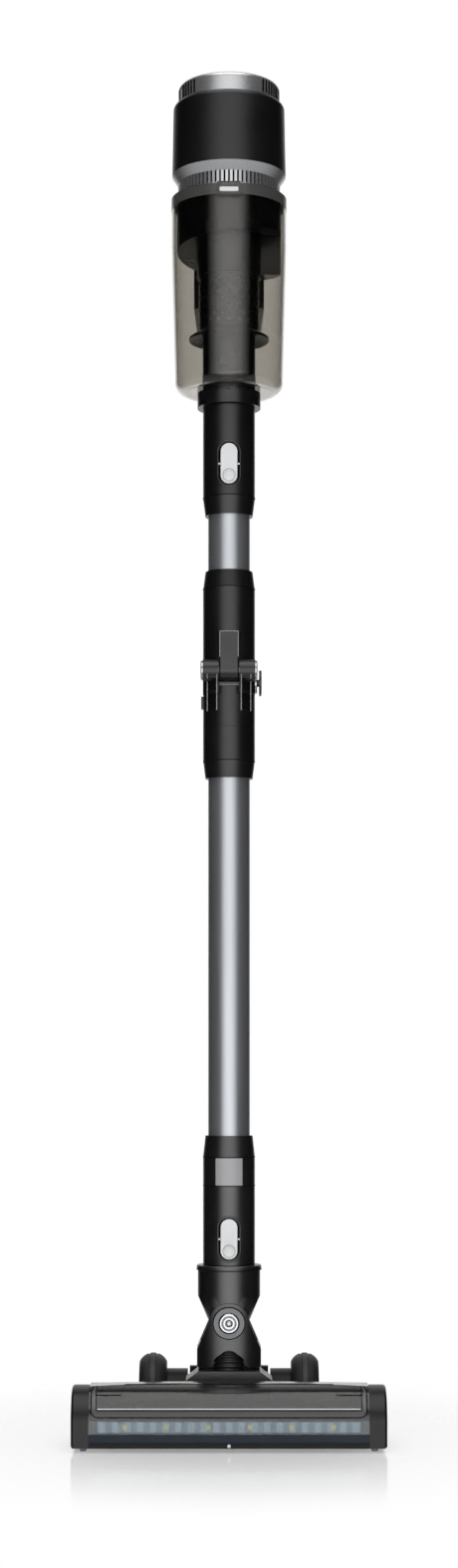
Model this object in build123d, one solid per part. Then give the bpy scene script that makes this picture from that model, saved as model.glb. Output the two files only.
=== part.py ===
from build123d import *
import math
import os

# A cordless stick vacuum cleaner, standing upright.
# Millimetres, +Z up, front towards -Y. Places are worked out from the wand's own axis,
# and the finished pieces are then shifted so that the origin lies under the middle.

# Clearances
seat_gap = 0.1
running_gap = 0.05
moving_gap = 0.35

# Floor head
head_width = 250.0
head_front = -78.0
head_rear = 6.0
head_wall = 2.5
front_setback = 1.0
end_cap_width = 14.0
ridge_place = -46.0
ridge_height = 53.0
brow_bulge = 8.0
rear_height = 34.0
rear_bulge = 2.5
crown_drop = 3.0
window_rear = -38.0
hump_width = 70.0
hump_top_width = 50.0
hump_shoulder = 51.0
hump_front = -26.0
hump_rear = 10.5
hump_height = 58.5
hump_wall = 2.5
sole_bottom = 3.5
sole_thickness = 2.5
floor_thickness = 2.5
intake_margin = 2.0
intake_front = -64.0
intake_rear = -31.0
strip_top = 7.5
bumper_height = 7.0
lens_height = 10.8
lens_thickness = 1.5
led_count = 6
led_margin = 12.0
led_size = 3.6
led_depth = 0.8
board_thickness = 1.2
board_height = 8.0
board_margin = 5.0
nose_screw_radius = 1.35
sole_screw_inset = 10.0
sole_screw_rear = 12.0
sole_screw_front = 5.0

# Brush drive
brush_place = -47.0
brush_height = 24.8
brush_radius = 22.3
brush_end_room = 14.0
core_radius = 12.5
sleeve_radius = 14.5
strand_width = 1.0
strand_bite = 0.6
strand_rows = 4
strands_per_row = 90
chevron_turn = 80.0
shaft_radius = 3.0
bearing_radius = 7.0
bearing_width = 3.0
bearing_space = 1.5
chamber_radius = 24.3
pulley_width = 4.5
pulley_space = 1.0
brush_pulley_radius = 8.0
motor_pulley_radius = 5.0
belt_thickness = 1.2
belt_side_room = 1.0
belt_top_room = 6.0
motor_place = -8.5
brush_motor_radius = 10.5
brush_motor_length = 50.0
motor_shaft_radius = 1.5

# Wheels
wheel_radius = 33.0
wheel_width = 22.7
wheel_track = 126.0
wheel_place = 46.0
wheel_crown = 7.0
tyre_depth = 9.0
hub_radius = 13.0
hub_depth = 3.0
axle_radius = 4.0
axle_head_radius = 7.0
axle_head_width = 1.5
arm_width = 17.0
arm_radius = 20.0
castor_radius = 6.0
castor_width = 5.0
castor_place = -66.0
castor_inset = 9.5
castor_round = 0.8
castor_room = 1.0
castor_cheek = 3.0
castor_pin_radius = 1.5
castor_pin_length = 1.8

# Neck
pitch_place = 30.0
pitch_height = 33.0
pitch_pin_radius = 4.0
barrel_radius = 18.0
ear_width = 6.0
ear_radius = 12.0
ear_lug_depth = 8.0
ear_lug_top = 57.0
yoke_width = 52.0
yoke_wall = 6.0
yoke_depth = 44.0
yoke_low = 61.0
yoke_shoulder = 75.0
waist_width = 33.0
neck_pivot_height = 97.0
cheek_width = 4.5
cheek_radius = 16.0
arch_width = 17.0
arch_top = 75.0
ceiling_thickness = 4.0
pivot_pin_radius = 4.0
pivot_pin_length = 10.0
pivot_cap_radius = 8.0
pivot_cap_height = 1.8
pivot_ring_radius = 12.4
pivot_ring_height = 1.2
hose_place = -6.0
hose_radius = 12.5
hose_bore = 9.6
hose_groove = 1.4
hose_rib_pitch = 4.4
rib_share = 0.3
elbow_width = 32.0
elbow_wall = 2.0
elbow_rise = 12.0
elbow_spigot = 8.0
duct_sill = 4.0
socket_radius = 26.4
socket_rim = 143.0
socket_flange = 4.0
flange_step = 1.0
socket_taper_top = 118.0
spigot_length = 24.0
spigot_wall = 1.6

# Wand
tube_radius = 17.0
tube_wall = 1.5
tube_seat = 45.0
collar_radius = 21.15
collar_nose = 19.3
lower_collar_length = 105.0
lower_collar_taper = 17.0
main_tube_length = 291.0
knee_length = 168.5
upper_tube_length = 45.5
upper_collar_length = 88.0
upper_collar_taper = 14.0
upper_seat = 20.0
button_width = 15.4
button_length = 34.4
button_rise = 1.6
button_back = 18.6
button_swing = 1.6
button_offset = 4.3
upper_button_offset = 31.5
button_pin_radius = 0.9
button_pin_place = 18.8
button_pin_span = 18.6
dimple_radius = 5.0
dimple_depth = 0.8
plate_width = 21.7
plate_height = 22.0
plate_thickness = 0.5
plate_offset = 18.0

# Folding knee
hinge_rise = 86.0
pin_cover = 0.6
knuckle_radius = 8.0
clevis_radius = 9.0
tongue_width = 16.0
tongue_rise = 31.0
tongue_depth = 7.0
knee_taper = 14.0
knee_step = 15.0
knee_recess_height = 45.0
knee_recess_depth = 3.0
knee_pin_radius = 3.0
pin_head_width = 1.8
knee_button_radius = 10.5
knee_button_width = 2.0
knee_button_round = 0.8
knee_button_travel = 1.2
knee_button_drop = 8.0
knee_button_place = -2.0
button_stem_radius = 3.0
button_stem_skin = 1.2
side_tab_height = 10.0
side_tab_rise = 1.6
side_tab_half = 3.5
knee_hose_radius = 16.4
knee_hose_bore = 13.2
knee_hose_groove = 1.8
knee_hose_ribs = 14

# Hand unit
neck_ring_radius = 25.7
neck_ring_height = 12.0
bin_height = 158.2
bin_radius = 46.75
bin_low_radius = 43.9
bin_straight = 40.0
bin_rim = 9.0
bin_wall = 2.0
duct_radius = 21.5
duct_height = 48.0
duct_window = 18.0
latch_width = 15.0
latch_height = 3.4
latch_depth = 2.4
latch_travel = 1.2
latch_drop = 6.5
latch_rise = 0.8
latch_round = 1.0
frame_width = 20.0
frame_height = 11.0
frame_depth = 3.2
frame_round = 2.0
separator_radius = 42.4
separator_base = 130.0
ramp_drop = 32.0
ramp_inner = 26.0
ramp_steps = 24
ramp_sweep = 345.0
ramp_sink = 2.0
ramp_lip = 0.5
separator_bore = 21.0
separator_ceiling = 4.0
separator_lip = 6.0
column_radius = 24.5
column_base = 50.0
column_wall = 1.6
column_hole = 1.6
column_rows = 7
column_holes_around = 18
skirt_radius = 32.5
skirt_drop = 5.0
skirt_thickness = 2.0
filter_radius = 20.7
filter_pleat = 4.0
filter_pleats = 24
filter_height = 40.0
vent_lip = 2.0
vent_height = 9.5
vent_bevel = 7.0
vent_radius = 41.5
vent_wall = 2.0
vent_slots = 72
vent_slot_width = 1.5
housing_height = 58.0
housing_low_radius = 46.3
housing_top_radius = 45.3
housing_round = 5.0
housing_wall = 2.5
cap_height = 15.0
cap_radius = 41.0
cap_round = 4.0
cap_wall = 2.0
cap_slots = 7
cap_slot_width = 1.8
cap_slot_pitch = 4.6
cap_slot_height = 8.5
fan_motor_radius = 30.0
fan_motor_length = 36.0
fan_flange_width = 3.0
fan_shaft_radius = 2.5
impeller_radius = 33.0
impeller_height = 11.0
impeller_blades = 9
impeller_hub = 7.5
impeller_rise = 4.0
blade_thickness = 1.6
blade_inset = 1.0
fan_motor_rise = 2.0

# Handle and battery
handle_start = 48.0
handle_back = 130.0
handle_width = 32.0
handle_round = 6.0
handle_wall = 3.0
handle_corner = 18.0
handle_drop = 4.0
pad_height = 50.0
finger_front = 62.0
finger_back = 98.0
finger_height = 62.0
finger_corner = 10.0
dock_thickness = 12.0
dock_front = 50.5
bridge_height = 30.0
trigger_width = 14.0
trigger_height = 27.0
trigger_proud = 1.0
trigger_depth = 8.0
trigger_travel = 4.0
trigger_drop = 4.0
boss_radius = 4.0
boss_rise = 8.0
screw_radius = 1.4
screw_head_radius = 2.7
screw_head_height = 1.8
screw_length = 22.0
battery_width = 62.0
battery_height = 43.0
battery_wall = 2.0
battery_round = 4.0
rail_neck = 20.0
rail_head = 28.0
rail_height = 7.0
rail_step = 3.5
cell_radius = 9.0
cell_length = 65.0
cells_across = 3
cell_layers = 2
jack_radius = 2.75
jack_depth = 10.0

# Levels, from the floor up
collar_base = socket_rim + moving_gap
lower_collar_top = collar_base + lower_collar_length
knee_base = lower_collar_top + main_tube_length
hinge_height = knee_base + hinge_rise
knee_top = knee_base + knee_length
upper_collar_base = knee_top + upper_tube_length
upper_collar_top = upper_collar_base + upper_collar_length
ring_base = upper_collar_top + moving_gap
bin_base = ring_base + neck_ring_height
bin_top = bin_base + bin_height
vent_base = bin_top + moving_gap
vent_top = vent_base + vent_lip + vent_height + vent_bevel
housing_top = vent_top + housing_height
pad_base = vent_top + handle_drop
total_height = housing_top + cap_height
lower_button_height = collar_base + button_offset + button_length / 2
upper_button_height = upper_collar_top - upper_button_offset - button_length / 2
trigger_reach = trigger_travel + trigger_proud
head_inner = head_width / 2 - end_cap_width
brush_length = 2 * (head_inner - brush_end_room)
intake_length = brush_length + 2 * intake_margin
led_pitch = 2 * (head_inner - led_margin) / led_count
castor_track = head_width - 2 * castor_inset
spigot_radius = tube_radius
bore_radius = spigot_radius - spigot_wall
hinge_place = -(knee_hose_radius + pin_cover + knee_pin_radius)
axis_shift = -(head_front + handle_back) / 2


# Plain shapes

def block(x_span, y_span, z_span):
    spans = (x_span, y_span, z_span)
    size = [high - low for low, high in spans]
    middle = [(high + low) / 2 for low, high in spans]
    return Pos(*middle) * Box(*size)


def wide_block(width, y_span, z_span):
    return block((-width / 2, width / 2), y_span, z_span)


def post(radius, z_span, x=0.0, y=0.0):
    low, high = z_span
    return Pos(x, y, (low + high) / 2) * Cylinder(radius, high - low)


def rod_x(radius, x_span, y, z):
    low, high = x_span
    return Pos((low + high) / 2, y, z) * Rot(0, 90, 0) * Cylinder(radius, high - low)


def rod_y(radius, y_span, x, z):
    low, high = y_span
    return Pos(x, (low + high) / 2, z) * Rot(90, 0, 0) * Cylinder(radius, high - low)


def turned(*outline):
    # Radius and height points, turned about the wand's axis.
    face = make_face(Polyline(*outline, close=True))
    return revolve(Plane.XZ * face, axis=Axis.Z)


def side_slab(face, x_span):
    # A side view, drawn in Y and Z, given a width in X.
    low, high = x_span
    return Pos(low, 0, 0) * extrude(Plane.YZ * face, amount=high - low)


def front_slab(face, y_span):
    # A front view, drawn in X and Z, given a depth in Y.
    low, high = y_span
    return Pos(0, high, 0) * extrude(Plane.XZ * face, amount=high - low)


def both_sides(piece):
    return [piece, mirror(piece, about=Plane.YZ)]


def ribbed_hose(radius, bore, groove, z_span, ribs, y):
    low, high = z_span
    pitch = (high - low) / ribs
    root = radius - groove
    rings = []
    flank = rib_share * pitch
    for rib in range(ribs):
        start = low + rib * pitch
        rings.append((root, start))
        rings.append((radius, start + flank))
        rings.append((radius, start + 2 * flank))
        rings.append((root, start + 3 * flank))
    rings.append((root, high))
    sections = [Plane(origin=(0, y, z), x_dir=(1, 0, 0)) * Circle(r) for r, z in rings]
    return loft(sections, ruled=True) - post(bore, z_span, y=y)


nodes = {}


def keep(name, *pieces):
    # A node is one solid, or a group of like solids.
    nodes[name] = pieces


# Floor head

lens_front = head_front + front_setback
chip_front = lens_front + lens_thickness + seat_gap
board_front = chip_front + led_depth
front_wall = board_front + board_thickness
bumper_base = strip_top + seat_gap
lens_base = bumper_base + bumper_height + seat_gap
brow_height = lens_base + lens_height + seat_gap
floor_base = sole_bottom + sole_thickness + seat_gap
floor_top = floor_base + floor_thickness
divider_front = brush_place + chamber_radius
divider_rear = divider_front + head_wall
cover_low = rear_height - head_wall
bearing_start = brush_length / 2 + bearing_space
pulley_start = bearing_start + bearing_width + pulley_space
nose_height = (sole_bottom + strip_top) / 2
motor_height = floor_top + brush_motor_radius + seat_gap
head_span = (-head_inner, head_inner)
inside_span = (seat_gap - head_inner, head_inner - seat_gap)


def head_outline(top=ridge_height):
    ridge = (ridge_place, top)
    brow = (lens_front, brow_height)
    back = (head_rear, rear_height)
    toe = (lens_front, sole_bottom)
    heel = (head_rear, sole_bottom)
    edges = [
        Line(toe, brow),
        SagittaArc(brow, ridge, brow_bulge),
        SagittaArc(ridge, back, rear_bulge),
        Line(back, heel),
        Line(heel, toe),
    ]
    return make_face(edges)


def crown(lower=0.0):
    # The top line of the head is highest in the middle.
    half = head_width / 2
    side = ridge_height - crown_drop - lower
    edges = [
        ThreePointArc((-half, side), (0, ridge_height - lower), (half, side)),
        Line((half, side), (half, 0)),
        Line((half, 0), (-half, 0)),
        Line((-half, 0), (-half, side)),
    ]
    return front_slab(make_face(edges), (head_front, head_rear))


def head_outer(x_span):
    return side_slab(head_outline(), x_span) & crown()


def head_inside(x_span, inset):
    return side_slab(offset(head_outline(), amount=-inset), x_span) & crown(inset)


def hump(inset):
    foot = hump_width / 2 - inset
    head = hump_top_width / 2 - inset
    top = hump_height - inset
    shoulder = hump_shoulder - inset
    points = [
        (-foot, floor_top),
        (foot, floor_top),
        (foot, shoulder),
        (head, top),
        (-head, top),
        (-foot, shoulder),
    ]
    face = make_face(Polyline(*points, close=True))
    return front_slab(face, (hump_front + inset, hump_rear - inset))


def make_head_shells():
    skin = head_outer(inside_span) - head_inside(head_span, head_wall)
    ahead = wide_block(head_width, (head_front, window_rear - seat_gap), (brow_height, ridge_height))
    keep("brush_window", skin & ahead)
    behind = wide_block(head_width, (window_rear, head_rear), (cover_low, ridge_height))
    hump_top = hump(0) & wide_block(hump_width, (hump_front, hump_rear), (cover_low, hump_height))
    hump_top = hump_top - head_inside(head_span, head_wall)
    cover = (skin & behind) + hump_top - hump(hump_wall)
    hose_hole = post(hose_radius + moving_gap, (cover_low, hump_height), y=hose_place)
    keep("head_top_cover", cover - hose_hole)
    sole = head_outer(inside_span) & wide_block(
        head_width, (front_wall + seat_gap, head_rear), (sole_bottom, sole_bottom + sole_thickness)
    )
    keep("sole_plate", sole - intake() - sole_screw_holes())


def intake():
    return wide_block(intake_length, (intake_front, intake_rear), (0, floor_top))


def sole_screw_places():
    side = intake_length / 2 - sole_screw_inset
    rear = head_rear - sole_screw_rear
    front = front_wall + sole_screw_front
    return [(-side, rear), (side, rear), (-side, front), (side, front)]


def sole_screw_holes():
    holes = []
    for x, y in sole_screw_places():
        holes.append(post(screw_radius + seat_gap, (sole_bottom, floor_top), x, y))
        holes.append(post(screw_head_radius + seat_gap, (0, sole_bottom + screw_head_height), x, y))
    return holes


def make_head_screws():
    screws = []
    for x, y in sole_screw_places():
        head = post(screw_head_radius, (sole_bottom, sole_bottom + screw_head_height), x, y)
        screws.append(head + post(screw_radius, (sole_bottom, floor_top), x, y))
    nose = rod_y(nose_screw_radius, (lens_front, front_wall), 0, nose_height)
    keep("head_screws", *screws, nose)


def make_chassis():
    floor = wide_block(head_width, (front_wall, head_rear), (floor_base, floor_top))
    wall = wide_block(head_width, (front_wall, front_wall + head_wall), (floor_base, brow_height))
    divider = wide_block(head_width, (divider_front, divider_rear), (floor_base, ridge_height))
    rib = block(
        (bearing_start, bearing_start + bearing_width), (front_wall, divider_rear), (floor_base, ridge_height)
    )
    inside = Part() + [floor, wall, divider, *both_sides(rib)]
    inside = inside & head_inside(inside_span, head_wall + seat_gap)
    strip = wide_block(2 * inside_span[1], (lens_front, front_wall), (sole_bottom, strip_top))
    back_front = head_rear - head_wall - 2 * seat_gap
    back = wide_block(2 * inside_span[1], (back_front, head_rear), (floor_base, cover_low - seat_gap))
    chassis = Part() + [inside, strip, back, *both_sides(pitch_ear()), *both_sides(wheel_arm())]
    chassis = chassis - intake() - sole_screw_holes()
    nose_hole = rod_y(nose_screw_radius + seat_gap, (lens_front, front_wall), 0, nose_height)
    bearing_hole = rod_x(bearing_radius + running_gap, (-head_inner, head_inner), brush_place, brush_height)
    duct_mouth = wide_block(
        elbow_width - 2 * elbow_wall, (divider_front, divider_rear), (floor_top + duct_sill, cover_low)
    )
    belt_slot = block(
        (pulley_start - belt_side_room, pulley_start + pulley_width + belt_side_room),
        (divider_front, divider_rear),
        (floor_top, brush_height + brush_pulley_radius + belt_top_room),
    )
    pin_hole = rod_x(pitch_pin_radius + seat_gap, (-head_inner, head_inner), pitch_place, pitch_height)
    axle_hole = rod_x(axle_radius + seat_gap, (-head_inner, head_inner), wheel_place, wheel_radius)
    keep("head_chassis", chassis - [nose_hole, bearing_hole, duct_mouth, belt_slot, pin_hole, axle_hole])


def pitch_ear():
    inner = yoke_width / 2 + moving_gap
    span = (inner, inner + ear_width)
    eye = rod_x(ear_radius, span, pitch_place, pitch_height)
    root_top = cover_low - seat_gap
    root = block(span, (head_rear - head_wall, pitch_place), (pitch_height - ear_radius, root_top))
    lug_half = ear_lug_depth / 2
    lug = block(span, (pitch_place - lug_half, pitch_place + lug_half), (pitch_height, ear_lug_top))
    return eye + root + lug


def wheel_arm():
    outer = (wheel_track - wheel_width) / 2 - moving_gap
    span = (outer - arm_width, outer)
    eye = rod_x(arm_radius, span, wheel_place, wheel_radius)
    root_top = cover_low - seat_gap
    root = block(span, (head_rear - head_wall, wheel_place), (wheel_radius - arm_radius, root_top))
    return eye + root


def make_end_cap(name, side):
    outer = head_width / 2
    outline = head_outline(ridge_height - crown_drop * (head_inner / outer) ** 2)
    cap = side_slab(outline, (head_inner, outer))
    rim = cap.faces().sort_by(Axis.X)[-1].edges()
    cap = fillet(rim, radius=head_wall)
    cap = cap - side_slab(offset(outline, amount=-head_wall), (head_inner, outer - head_wall))
    reach = castor_width / 2 + castor_pin_length
    middle = castor_track / 2
    cheeks = block(
        (head_inner, middle + reach + castor_room),
        (castor_place - castor_radius - castor_cheek, castor_place + castor_radius + castor_cheek),
        (sole_bottom, 2 * castor_radius + castor_cheek),
    )
    well = block(
        (middle - castor_width / 2 - moving_gap, middle + castor_width / 2 + moving_gap),
        (castor_place - castor_radius - castor_room, castor_place + castor_radius + castor_room),
        (0, 2 * castor_radius + castor_room),
    )
    pin_span = (middle - reach, middle + reach)
    hole = rod_x(castor_pin_radius + running_gap, pin_span, castor_place, castor_radius)
    cap = cap + (cheeks & head_outer((head_inner, outer))) - well - hole
    keep(name, cap if side > 0 else mirror(cap, about=Plane.YZ))


def make_castor(name, side):
    middle = side * castor_track / 2
    half = castor_width / 2
    roller = rod_x(castor_radius, (middle - half, middle + half), castor_place, castor_radius)
    reach = half + castor_pin_length
    pins = rod_x(castor_pin_radius, (middle - reach, middle + reach), castor_place, castor_radius)
    keep(name, fillet(roller.edges(), castor_round) + pins)


def make_front_strips():
    width = 2 * inside_span[1]
    lens_top = lens_base + lens_height
    keep("led_lens", wide_block(width, (lens_front, lens_front + lens_thickness), (lens_base, lens_top)))
    middle = lens_base + lens_height / 2
    board_span = (middle - board_height / 2, middle + board_height / 2)
    board_length = led_count * led_pitch + 2 * board_margin
    keep("led_board", wide_block(board_length, (board_front, front_wall), board_span))
    chips = []
    for number in range(led_count):
        x = (number - (led_count - 1) / 2) * led_pitch
        chip_span = (middle - led_size / 2, middle + led_size / 2)
        chips.append(block((x - led_size / 2, x + led_size / 2), (chip_front, board_front), chip_span))
    keep("led_chips", *chips)
    bumper = wide_block(width, (head_front, front_wall), (bumper_base, bumper_base + bumper_height))
    nose = bumper.edges().filter_by(Axis.X).group_by(Axis.Y)[0]
    keep("bumper_strip", fillet(nose, front_setback))


def make_brush():
    half = brush_length / 2
    shaft_end = pulley_start + pulley_width
    core = rod_x(core_radius, (-half, half), brush_place, brush_height)
    shaft = rod_x(shaft_radius, (-bearing_start - bearing_width, shaft_end), brush_place, brush_height)
    keep("brush_core", core + shaft)
    sleeve = rod_x(sleeve_radius, (-half, half), 0, 0) - rod_x(core_radius, (-half, half), 0, 0)
    strands = []
    length = brush_radius - sleeve_radius + strand_bite
    step = brush_length / strands_per_row
    for row in range(strand_rows):
        for number in range(strands_per_row):
            x = (number + 0.5) * step - half
            turn = row * 360 / strand_rows + chevron_turn * abs(x) / half
            strand = Pos(0, 0, brush_radius - length / 2) * Box(strand_width, strand_width, length)
            strands.append(Pos(x, 0, 0) * Rot(turn, 0, 0) * strand)
    keep("brush_bristles", Pos(0, brush_place, brush_height) * (sleeve + strands))
    pulley_span = (pulley_start, shaft_end)
    bore = rod_x(shaft_radius, pulley_span, brush_place, brush_height)
    keep("brush_pulley", rod_x(brush_pulley_radius, pulley_span, brush_place, brush_height) - bore)
    ring_span = (bearing_start, bearing_start + bearing_width)
    ring = rod_x(bearing_radius, ring_span, brush_place, brush_height)
    ring = ring - rod_x(shaft_radius + running_gap, ring_span, brush_place, brush_height)
    keep("brush_bearings", *both_sides(ring))


def make_brush_motor():
    end = bearing_start
    body = rod_x(brush_motor_radius, (end - brush_motor_length, end), motor_place, motor_height)
    shaft_end = pulley_start + pulley_width
    keep("brush_motor", body + rod_x(motor_shaft_radius, (end, shaft_end), motor_place, motor_height))
    span = (pulley_start, shaft_end)
    pulley = rod_x(motor_pulley_radius, span, motor_place, motor_height)
    keep("motor_pulley", pulley - rod_x(motor_shaft_radius + running_gap, span, motor_place, motor_height))
    inside = belt_loop(moving_gap)
    outside = belt_loop(moving_gap + belt_thickness)
    keep("drive_belt", side_slab(outside - inside, span))


def belt_loop(grow):
    big = Pos(brush_place, brush_height) * Circle(brush_pulley_radius + grow)
    small = Pos(motor_place, motor_height) * Circle(motor_pulley_radius + grow)
    return make_hull(big.edges() + small.edges())


def make_wheel(name, side):
    half = wheel_width / 2
    edge = wheel_radius - wheel_crown
    tread = [
        Line((-half, 0), (-half, edge)),
        ThreePointArc((-half, edge), (0, wheel_radius), (half, edge)),
        Line((half, edge), (half, 0)),
        Line((half, 0), (-half, 0)),
    ]
    wheel = revolve(make_face(tread), axis=Axis.X)
    dish = rod_x(wheel_radius - tyre_depth, (half - hub_depth, half), 0, 0)
    dish = dish - rod_x(hub_radius, (0, half), 0, 0)
    bore = rod_x(axle_radius + running_gap, (-half, half), 0, 0)
    wheel = wheel - dish - bore
    if side < 0:
        wheel = mirror(wheel, about=Plane.YZ)
    keep(name, Pos(side * wheel_track / 2, wheel_place, wheel_radius) * wheel)


def make_axles():
    face = (wheel_track + wheel_width) / 2 + moving_gap
    start = (wheel_track - wheel_width) / 2 - arm_width
    axle = rod_x(axle_radius, (start, face), wheel_place, wheel_radius)
    head = rod_x(axle_head_radius, (face, face + axle_head_width), wheel_place, wheel_radius)
    keep("wheel_axles", *both_sides(axle + head))


def make_elbow():
    rear = head_rear - head_wall - 3 * seat_gap
    front = divider_rear + seat_gap
    top = cover_low + elbow_rise
    duct = wide_block(elbow_width, (front, rear), (floor_top + seat_gap, top))
    hollow = wide_block(
        elbow_width - 2 * elbow_wall,
        (front, rear - elbow_wall),
        (floor_top + 2 * elbow_wall, top - elbow_wall),
    )
    spigot = post(hose_bore - seat_gap, (top, top + elbow_spigot), y=hose_place)
    bore = post(hose_bore - elbow_wall, (top - elbow_wall, top + elbow_spigot), y=hose_place)
    keep("suction_elbow", duct + spigot - hollow - bore)
    return top


make_head_shells()
make_head_screws()
make_chassis()
make_front_strips()
make_brush()
make_brush_motor()
make_axles()
hose_base = make_elbow() + seat_gap
for name, side in (("left", -1), ("right", 1)):
    make_end_cap(name + "_end_cap", side)
    make_castor("front_castor_" + name, side)
    make_wheel("rear_wheel_" + name, side)


# Neck

ceiling_top = neck_pivot_height - waist_width / 2 - 2 * moving_gap
ceiling_base = ceiling_top - ceiling_thickness
slot_half = yoke_depth / 2 - cheek_width
ear_half = slot_half - moving_gap


def yoke_front_view():
    half = yoke_width / 2
    waist = waist_width / 2
    points = [
        (-half, 0),
        (half, 0),
        (half, yoke_shoulder),
        (waist, neck_pivot_height),
        (-waist, neck_pivot_height),
        (-half, yoke_shoulder),
    ]
    return make_face(Polyline(*points, close=True)) + Pos(0, neck_pivot_height) * Circle(cheek_radius)


def yoke_side_view():
    half = yoke_depth / 2
    top = neck_pivot_height + cheek_radius
    points = [
        (-half, yoke_low),
        (-half, top),
        (half, top),
        (half, yoke_shoulder),
        (pitch_place + barrel_radius, pitch_height),
        (pitch_place - barrel_radius, pitch_height),
        (pitch_place - barrel_radius, yoke_low),
    ]
    barrel = Pos(pitch_place, pitch_height) * Circle(barrel_radius)
    return make_face(Polyline(*points, close=True)) + barrel


def make_yoke():
    half = yoke_width / 2
    depth = yoke_depth / 2
    side = side_slab(yoke_side_view(), (-half, half))
    yoke = side & front_slab(yoke_front_view(), (-depth, pitch_place + 2 * barrel_radius))
    top = neck_pivot_height + 2 * cheek_radius
    socket_slot = wide_block(yoke_width, (-slot_half, slot_half), (ceiling_top, top))
    hose_room = wide_block(
        yoke_width - 2 * yoke_wall,
        (hose_place - hose_radius - seat_gap, hose_place + hose_radius + seat_gap),
        (pitch_height, ceiling_base),
    )
    air_hole = post(hose_bore, (ceiling_base, ceiling_top), y=hose_place)
    arch_radius = arch_width / 2
    arch_centre = arch_top - arch_radius
    arch = wide_block(arch_width, (-depth, 0), (0, arch_centre))
    arch = arch + rod_y(arch_radius, (-depth, 0), 0, arch_centre)
    swivel_hole = rod_y(pivot_pin_radius + seat_gap, (-depth, depth), 0, neck_pivot_height)
    pitch_hole = rod_x(pitch_pin_radius + running_gap, (-half, half), pitch_place, pitch_height)
    keep("neck_yoke", yoke - [socket_slot, hose_room, air_hole, arch, swivel_hole, pitch_hole])


def make_pitch_pins():
    outer = yoke_width / 2 + moving_gap + ear_width
    pin = rod_x(pitch_pin_radius, (outer - 2 * ear_width, outer), pitch_place, pitch_height)
    keep("pitch_pins", *both_sides(pin))


def make_pivot_caps():
    depth = yoke_depth / 2
    face = depth + pivot_ring_height
    pin = rod_y(pivot_pin_radius, (-face, pivot_pin_length - depth), 0, neck_pivot_height)
    dome = rod_y(pivot_cap_radius, (-face - pivot_cap_height, -face), 0, neck_pivot_height)
    rim = dome.edges().group_by(Axis.Y)[0]
    cap = fillet(rim, pivot_cap_height / 2) + pin
    keep("pivot_caps", cap, mirror(cap, about=Plane.XZ))
    ring = rod_y(pivot_ring_radius, (-face, -depth), 0, neck_pivot_height)
    ring = ring - rod_y(pivot_pin_radius + seat_gap, (-face, -depth), 0, neck_pivot_height)
    keep("pivot_rings", ring, mirror(ring, about=Plane.XZ))


def make_socket():
    waist = waist_width / 2
    rim_base = socket_rim - socket_flange
    inner = socket_radius - flange_step
    cup = turned(
        (0, socket_taper_top),
        (inner, socket_taper_top),
        (inner, rim_base),
        (socket_radius, rim_base),
        (socket_radius, socket_rim),
        (0, socket_rim),
    )
    taper = turned(
        (0, neck_pivot_height),
        (waist, neck_pivot_height),
        (inner, socket_taper_top),
        (0, socket_taper_top),
    )
    ball = rod_y(waist, (-ear_half, ear_half), 0, neck_pivot_height)
    ear_heights = (neck_pivot_height, socket_taper_top)
    ears = taper & wide_block(2 * socket_radius, (-ear_half, ear_half), ear_heights)
    spigot_bore = post(spigot_radius + running_gap, (socket_rim - spigot_length - seat_gap, socket_rim))
    air_bore = post(hose_bore, (neck_pivot_height - waist, socket_rim))
    pin_hole = rod_y(pivot_pin_radius + running_gap, (-ear_half, ear_half), 0, neck_pivot_height)
    keep("neck_socket", cup + ears + ball - [spigot_bore, air_bore, pin_hole])


make_yoke()
make_pitch_pins()
make_pivot_caps()
make_socket()
hose_ribs = round((ceiling_base - hose_base) / hose_rib_pitch)
hose_span = (hose_base, ceiling_base - seat_gap)
keep("neck_hose", ribbed_hose(hose_radius, hose_bore, hose_groove, hose_span, hose_ribs, hose_place))


# Wand collars, tubes and release buttons

def pill(width, length, y_span, middle):
    face = SlotOverall(length, width, rotation=90)
    return Pos(0, 0, middle) * front_slab(face, y_span)


def make_button(name, middle):
    front = -collar_radius - button_rise
    dimple_height = middle - (button_length - button_width) / 2
    body = pill(button_width, button_length, (front, -button_back), middle)
    rim = body.edges().group_by(Axis.Y)[0]
    body = fillet(rim, button_rise / 2)
    dimple = rod_y(dimple_radius, (front, front + dimple_depth), 0, dimple_height)
    half_span = button_pin_span / 2
    pins = rod_x(button_pin_radius, (-half_span, half_span), -button_pin_place, middle)
    keep(name, body - dimple + pins)


def button_cuts(middle):
    front = -collar_radius - button_rise
    back = button_swing - button_back
    well = pill(button_width + 2 * moving_gap, button_length + 2 * moving_gap, (front, back), middle)
    half_span = button_pin_span / 2
    hole = rod_x(button_pin_radius + running_gap, (-half_span, half_span), -button_pin_place, middle)
    return [well, hole]


def make_lower_collar():
    base = collar_base
    top = lower_collar_top
    collar = turned(
        (0, base - spigot_length),
        (spigot_radius, base - spigot_length),
        (spigot_radius, base),
        (collar_radius, base),
        (collar_radius, top - lower_collar_taper),
        (collar_nose, top),
        (0, top),
    )
    air_bore = post(bore_radius, (base - spigot_length, top))
    seat = post(tube_radius + seat_gap, (top - tube_seat, top))
    keep("lower_collar", collar - [air_bore, seat, *button_cuts(lower_button_height)])
    make_button("lower_button", lower_button_height)
    low = top - plate_offset - plate_height
    plate_span = (low, low + plate_height)
    ring = post(collar_radius + plate_thickness, plate_span) - post(collar_radius, plate_span)
    front = wide_block(plate_width, (-2 * collar_radius, 0), plate_span)
    keep("collar_plate", ring & front)


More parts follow.
